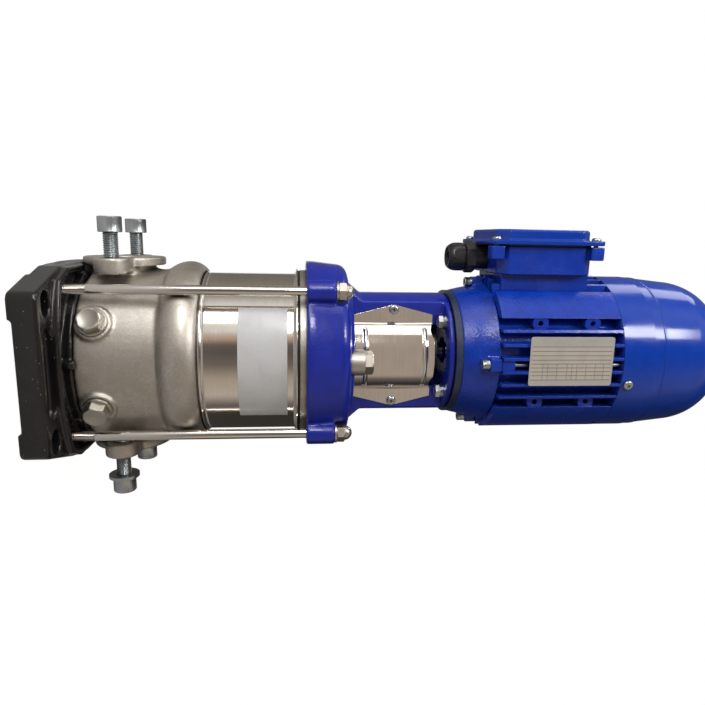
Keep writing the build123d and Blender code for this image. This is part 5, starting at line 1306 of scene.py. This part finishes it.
@dataclass
class TerminalBox:
    """The cast terminal box with its lid, the lid's screws and the cable gland."""

    screw_radius: float = 3.8
    screw_head: float = 2.6
    gland_spot: tuple[float, float] = (-84.0, 0.0)
    gland_seat: float = 358.256
    collar: float = 10.5
    hex_length: float = 9.0
    nut_length: float = 15.0
    bore: float = 7.2
    body_flats: float = 24.0
    nut_flats: float = 22.6
    body_thread: float = 9.8
    body_collar: float = 10.4
    body_start: float = -6.0

    def gland_rows(self) -> list[Row]:
        """The gland body's rows, as a ring round its bore."""
        start, end = self.collar, self.collar + self.hex_length
        rule = coned(hexagon(self.body_flats), self.body_flats, start - 0.4, end + 0.4)
        rows: list[Row] = [(self.body_start, self.body_thread), (0.0, self.body_thread)]
        rows += [(0.0, self.body_collar), (start, self.body_collar)]
        shares = (0.0, 0.07, 0.15, 0.25, 0.75, 0.85, 0.93, 1.0)
        rows += [(start + self.hex_length * share, rule) for share in shares]
        return [*rows, (end, self.bore), (self.body_start, self.bore)]

    def nut_rows(self) -> list[Row]:
        """The gland nut's rows, as a ring round its mouth."""
        start, length = self.collar + self.hex_length, self.nut_length
        flats = hexagon(self.nut_flats)

        def rule(angle: float, height: float) -> float:
            """The nut's flats, drawn in to a dome at its mouth."""
            share = max(0.0, (height - start) / length - 0.45) / 0.55
            return min(flats(angle, height), 12.3 - 3.4 * share**2.4)

        rows: list[Row] = [(start + 0.25, 10.6), (start + 0.9, 10.6), (start + 0.9, 11.3)]
        shares = (0.1, 0.2, 0.35, 0.5, 0.6, 0.7, 0.8, 0.88, 0.95, 1.0)
        rows += [(start + length * share, rule) for share in shares]
        mouth = start + length
        return [*rows, (mouth, self.bore + 0.6), (mouth - 0.6, self.bore), (start + 0.25, self.bore)]

    def build(self, materials: Materials) -> None:
        """Builds and dresses the pieces."""
        for node, slot in (("terminal_box", "motor_blue_paint"), ("terminal_lid", "cover_blue_paint")):
            CastSkin(node, 0.6, 3, 0.35).place(materials, slot)
        low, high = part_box("lid_screws")
        pan = PanHeadScrew(self.screw_radius, self.screw_head, 1.9, (high.x - low.x) / MM - self.screw_head)
        screws = Draft()
        seat = low.x / MM + self.screw_head
        for y in (low.y / MM + self.screw_radius, high.y / MM - self.screw_radius):
            for z in (low.z / MM + self.screw_radius, high.z / MM - self.screw_radius):
                screws.turn(pan.rows(), axis_matrix((seat, y, z), (-1, 0, 0), 3 * y + z), PAN_SEGMENTS)
        screws.place("lid_pan_screws", materials, "zinc_fastener", "lid_screws")
        place = axis_matrix((*self.gland_spot, self.gland_seat), (0, 0, -1))
        body, nut = Draft(), Draft()
        body.turn(self.gland_rows(), place, 96, ring=True)
        nut.turn(self.nut_rows(), place @ Matrix.Rotation(radians(14), 4, "Z"), 96, ring=True)
        body.place("gland_hex_body", materials, "gland_plastic", "gland_body")
        nut.place("gland_cap_nut", materials, "gland_plastic", "gland_nut")


# Studio


@dataclass(frozen=True)
class Camera:
    """The photograph's camera, beside the upright pump and rolled so that the shaft lies level."""

    place: Color = (-0.09898, -0.50789, 0.19046)
    right: Color = (-0.01938, -0.09724, 0.99507)
    up: Color = (-0.98072, 0.19543, 0.0)
    lens: float = 29.71

    def build(self) -> None:
        """Makes the camera and sets it as the scene's."""
        data = bpy.data.cameras.new("camera")
        data.lens = self.lens
        data.clip_start = 0.01
        camera = add_object("camera", data)
        right, up = Vector(self.right).normalized(), Vector(self.up).normalized()
        turn = Matrix((right, up, right.cross(up))).transposed()
        camera.matrix_world = Matrix.Translation(Vector(self.place)) @ turn.to_4x4()
        bpy.context.scene.camera = camera


@dataclass(frozen=True)
class SoftBox:
    """One soft lamp."""

    name: str
    turn: float
    reach: float
    level: float
    size: tuple[float, float]
    power: float
    color: Color = (1.0, 0.99, 0.98)

    def build(self, camera_azimuth: float) -> None:
        """Makes the lamp, which stands upright and faces the pump's shaft.

        Args:
            camera_azimuth: The camera's direction from the shaft in degrees, from which the lamp's
                turn counts.
        """
        data = bpy.data.lights.new(self.name, "AREA")
        data.shape = "RECTANGLE"
        data.size, data.size_y = self.size
        data.energy = self.power
        data.color = self.color
        lamp = add_object(self.name, data)
        angle = radians(camera_azimuth - self.turn)
        back = Vector((cos(angle), sin(angle), 0))
        up = Vector((0, 0, 1))
        turn = Matrix((up.cross(back), up, back)).transposed()
        lamp.matrix_world = Matrix.Translation(self.reach * back + self.level * up) @ turn.to_4x4()
        lamp.visible_camera = False


@dataclass(frozen=True)
class Studio:
    """The pale floor, the plain room and the soft lamps."""

    floor_radius: float = 1.0
    floor_glow: float = 1.3
    camera_azimuth: float = -101.03
    walls: tuple[tuple[float, Color], ...] = (
        (-180, (0.12, 0.11, 0.10)), (-155, (0.04, 0.035, 0.03)), (-105, (0.04, 0.035, 0.03)),
        (-84, (0.17, 0.14, 0.13)), (-66, (0.52, 0.46, 0.39)), (-42, (0.42, 0.36, 0.28)),
        (-22, (0.17, 0.14, 0.12)), (-4, (0.10, 0.09, 0.08)), (8, (0.13, 0.11, 0.095)),
        (15, (0.52, 0.34, 0.25)), (20, (0.52, 0.44, 0.37)), (27, (0.80, 0.76, 0.70)),
        (38, (0.70, 0.67, 0.62)), (50, (0.78, 0.75, 0.71)), (64, (0.88, 0.86, 0.83)),
        (84, (0.33, 0.29, 0.235)), (125, (0.20, 0.18, 0.155)), (155, (0.16, 0.15, 0.14)),
        (180, (0.12, 0.11, 0.10)),
    )
    lamps: tuple[SoftBox, ...] = (
        SoftBox("low_window", 45.8, 0.65, 0.10, (0.19, 0.22), 0.62),
        SoftBox("middle_window", 31.6, 0.65, 0.225, (0.15, 0.09), 0.9),
        SoftBox("side_window", 62.9, 0.65, 0.39, (0.34, 0.24), 0.42),
        SoftBox("high_window", 25.8, 0.65, 0.95, (0.18, 0.40), 4.2),
        SoftBox("top_window", 103.0, 0.65, 0.95, (0.25, 0.70), 1.8),
    )
    haze: Color = (0.40, 0.34, 0.285)

    def white_rays(self, wiring: Wiring, toward: bpy_prop_collection) -> NodeSocket:
        """Marks the camera's rays, and what metal and glass see of the backdrop behind the pump.

        Args:
            wiring: The world's wiring.
            toward: The outputs that hold the ray's direction.

        Returns:
            The mask's socket.
        """
        rays = wiring.add("ShaderNodeLightPath").outputs
        backdrop = wiring.span(toward[1], 0.96, 0.995)
        seen = wiring.math("MAXIMUM", rays["Is Glossy Ray"], rays["Is Transmission Ray"])
        return wiring.math("MAXIMUM", rays["Is Camera Ray"], wiring.times(seen, backdrop))

    def build_world(self) -> None:
        """Makes the room, whose walls go from light to dark round the shaft, with a white backdrop."""
        world = bpy.data.worlds.new("room")
        wiring = start_tree(world)
        direction = wiring.add("ShaderNodeTexCoord").outputs["Generated"]
        toward = wiring.add("ShaderNodeSeparateXYZ", {0: direction}).outputs
        azimuth = wiring.math("ARCTAN2", toward[1], toward[0])
        turned = wiring.math("SUBTRACT", radians(self.camera_azimuth), azimuth)
        share = wiring.math("FRACT", wiring.math("ADD", wiring.math("DIVIDE", turned, 2 * pi), 0.5))
        walls = wiring.add("ShaderNodeValToRGB", {0: share})
        stops = walls.color_ramp.elements
        for turn, _ in self.walls[1:-1]:
            stops.new(turn / 360 + 0.5)
        for stop, (_, color) in zip(stops, self.walls):
            stop.color = (*color, 1.0)
        rise = wiring.times(wiring.span(toward[2], 0.03, 0.11), wiring.span(toward[2], 0.45, 0.25))
        front = wiring.times(wiring.span(toward[1], -0.2, -0.6), rise)
        room = wiring.tint(front, walls.outputs[0], self.haze)
        color = wiring.tint(self.white_rays(wiring, toward), room, (1.0, 1.0, 1.0))
        background = wiring.add("ShaderNodeBackground", {"Color": color, "Strength": 1.0})
        wiring.add("ShaderNodeOutputWorld", {"Surface": background.outputs[0]})
        bpy.context.scene.world = world

    def build_floor(self) -> None:
        """Makes the floor, a pale disc that fades into the backdrop."""
        material = bpy.data.materials.new("pale_floor")
        wiring = start_tree(material)
        tone = wiring.tint(wiring.noise(wiring.place(), 3.0), (0.60, 0.60, 0.60), (0.63, 0.63, 0.63))
        matte = wiring.add("ShaderNodeBsdfDiffuse", {"Color": tone}).outputs[0]
        glow = wiring.add("ShaderNodeEmission", {"Strength": self.floor_glow}).outputs[0]
        seen = wiring.add("ShaderNodeLightPath").outputs["Is Camera Ray"]
        glow_share = wiring.times(seen, 0.75)
        lit = wiring.add("ShaderNodeMixShader", {0: glow_share, 1: matte, 2: glow}).outputs[0]
        away = wiring.add("ShaderNodeVectorMath", {0: wiring.place()}, operation="LENGTH").outputs["Value"]
        clear = wiring.add("ShaderNodeBsdfTransparent").outputs[0]
        fade = wiring.span(away, self.floor_radius * 0.35, self.floor_radius * 0.9)
        surface = wiring.add("ShaderNodeMixShader", {0: fade, 1: lit, 2: clear}).outputs[0]
        wiring.add("ShaderNodeOutputMaterial", {0: surface})
        mesh = bpy.data.meshes.new("floor")
        disc = bmesh.new()
        bmesh.ops.create_circle(disc, cap_ends=True, segments=96, radius=self.floor_radius)
        disc.to_mesh(mesh)
        disc.free()
        mesh.materials.append(material)
        floor = add_object("floor", mesh)

    def build(self) -> None:
        """Makes the whole studio."""
        self.build_world()
        self.build_floor()
        for lamp in self.lamps:
            lamp.build(self.camera_azimuth)
        bpy.context.scene.view_settings.view_transform = "Standard"


def main() -> None:
    """Builds the pump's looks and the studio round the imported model."""
    logging.basicConfig(level=logging.INFO, format="%(message)s")
    Camera().build()
    Studio().build()
    Effects.build_all()
    materials = dress_nodes()
    for assembly in (PumpBase(), Sleeve(), Stool(), Motor(), TerminalBox()):
        assembly.build(materials)


if __name__ == "__main__":
    main()
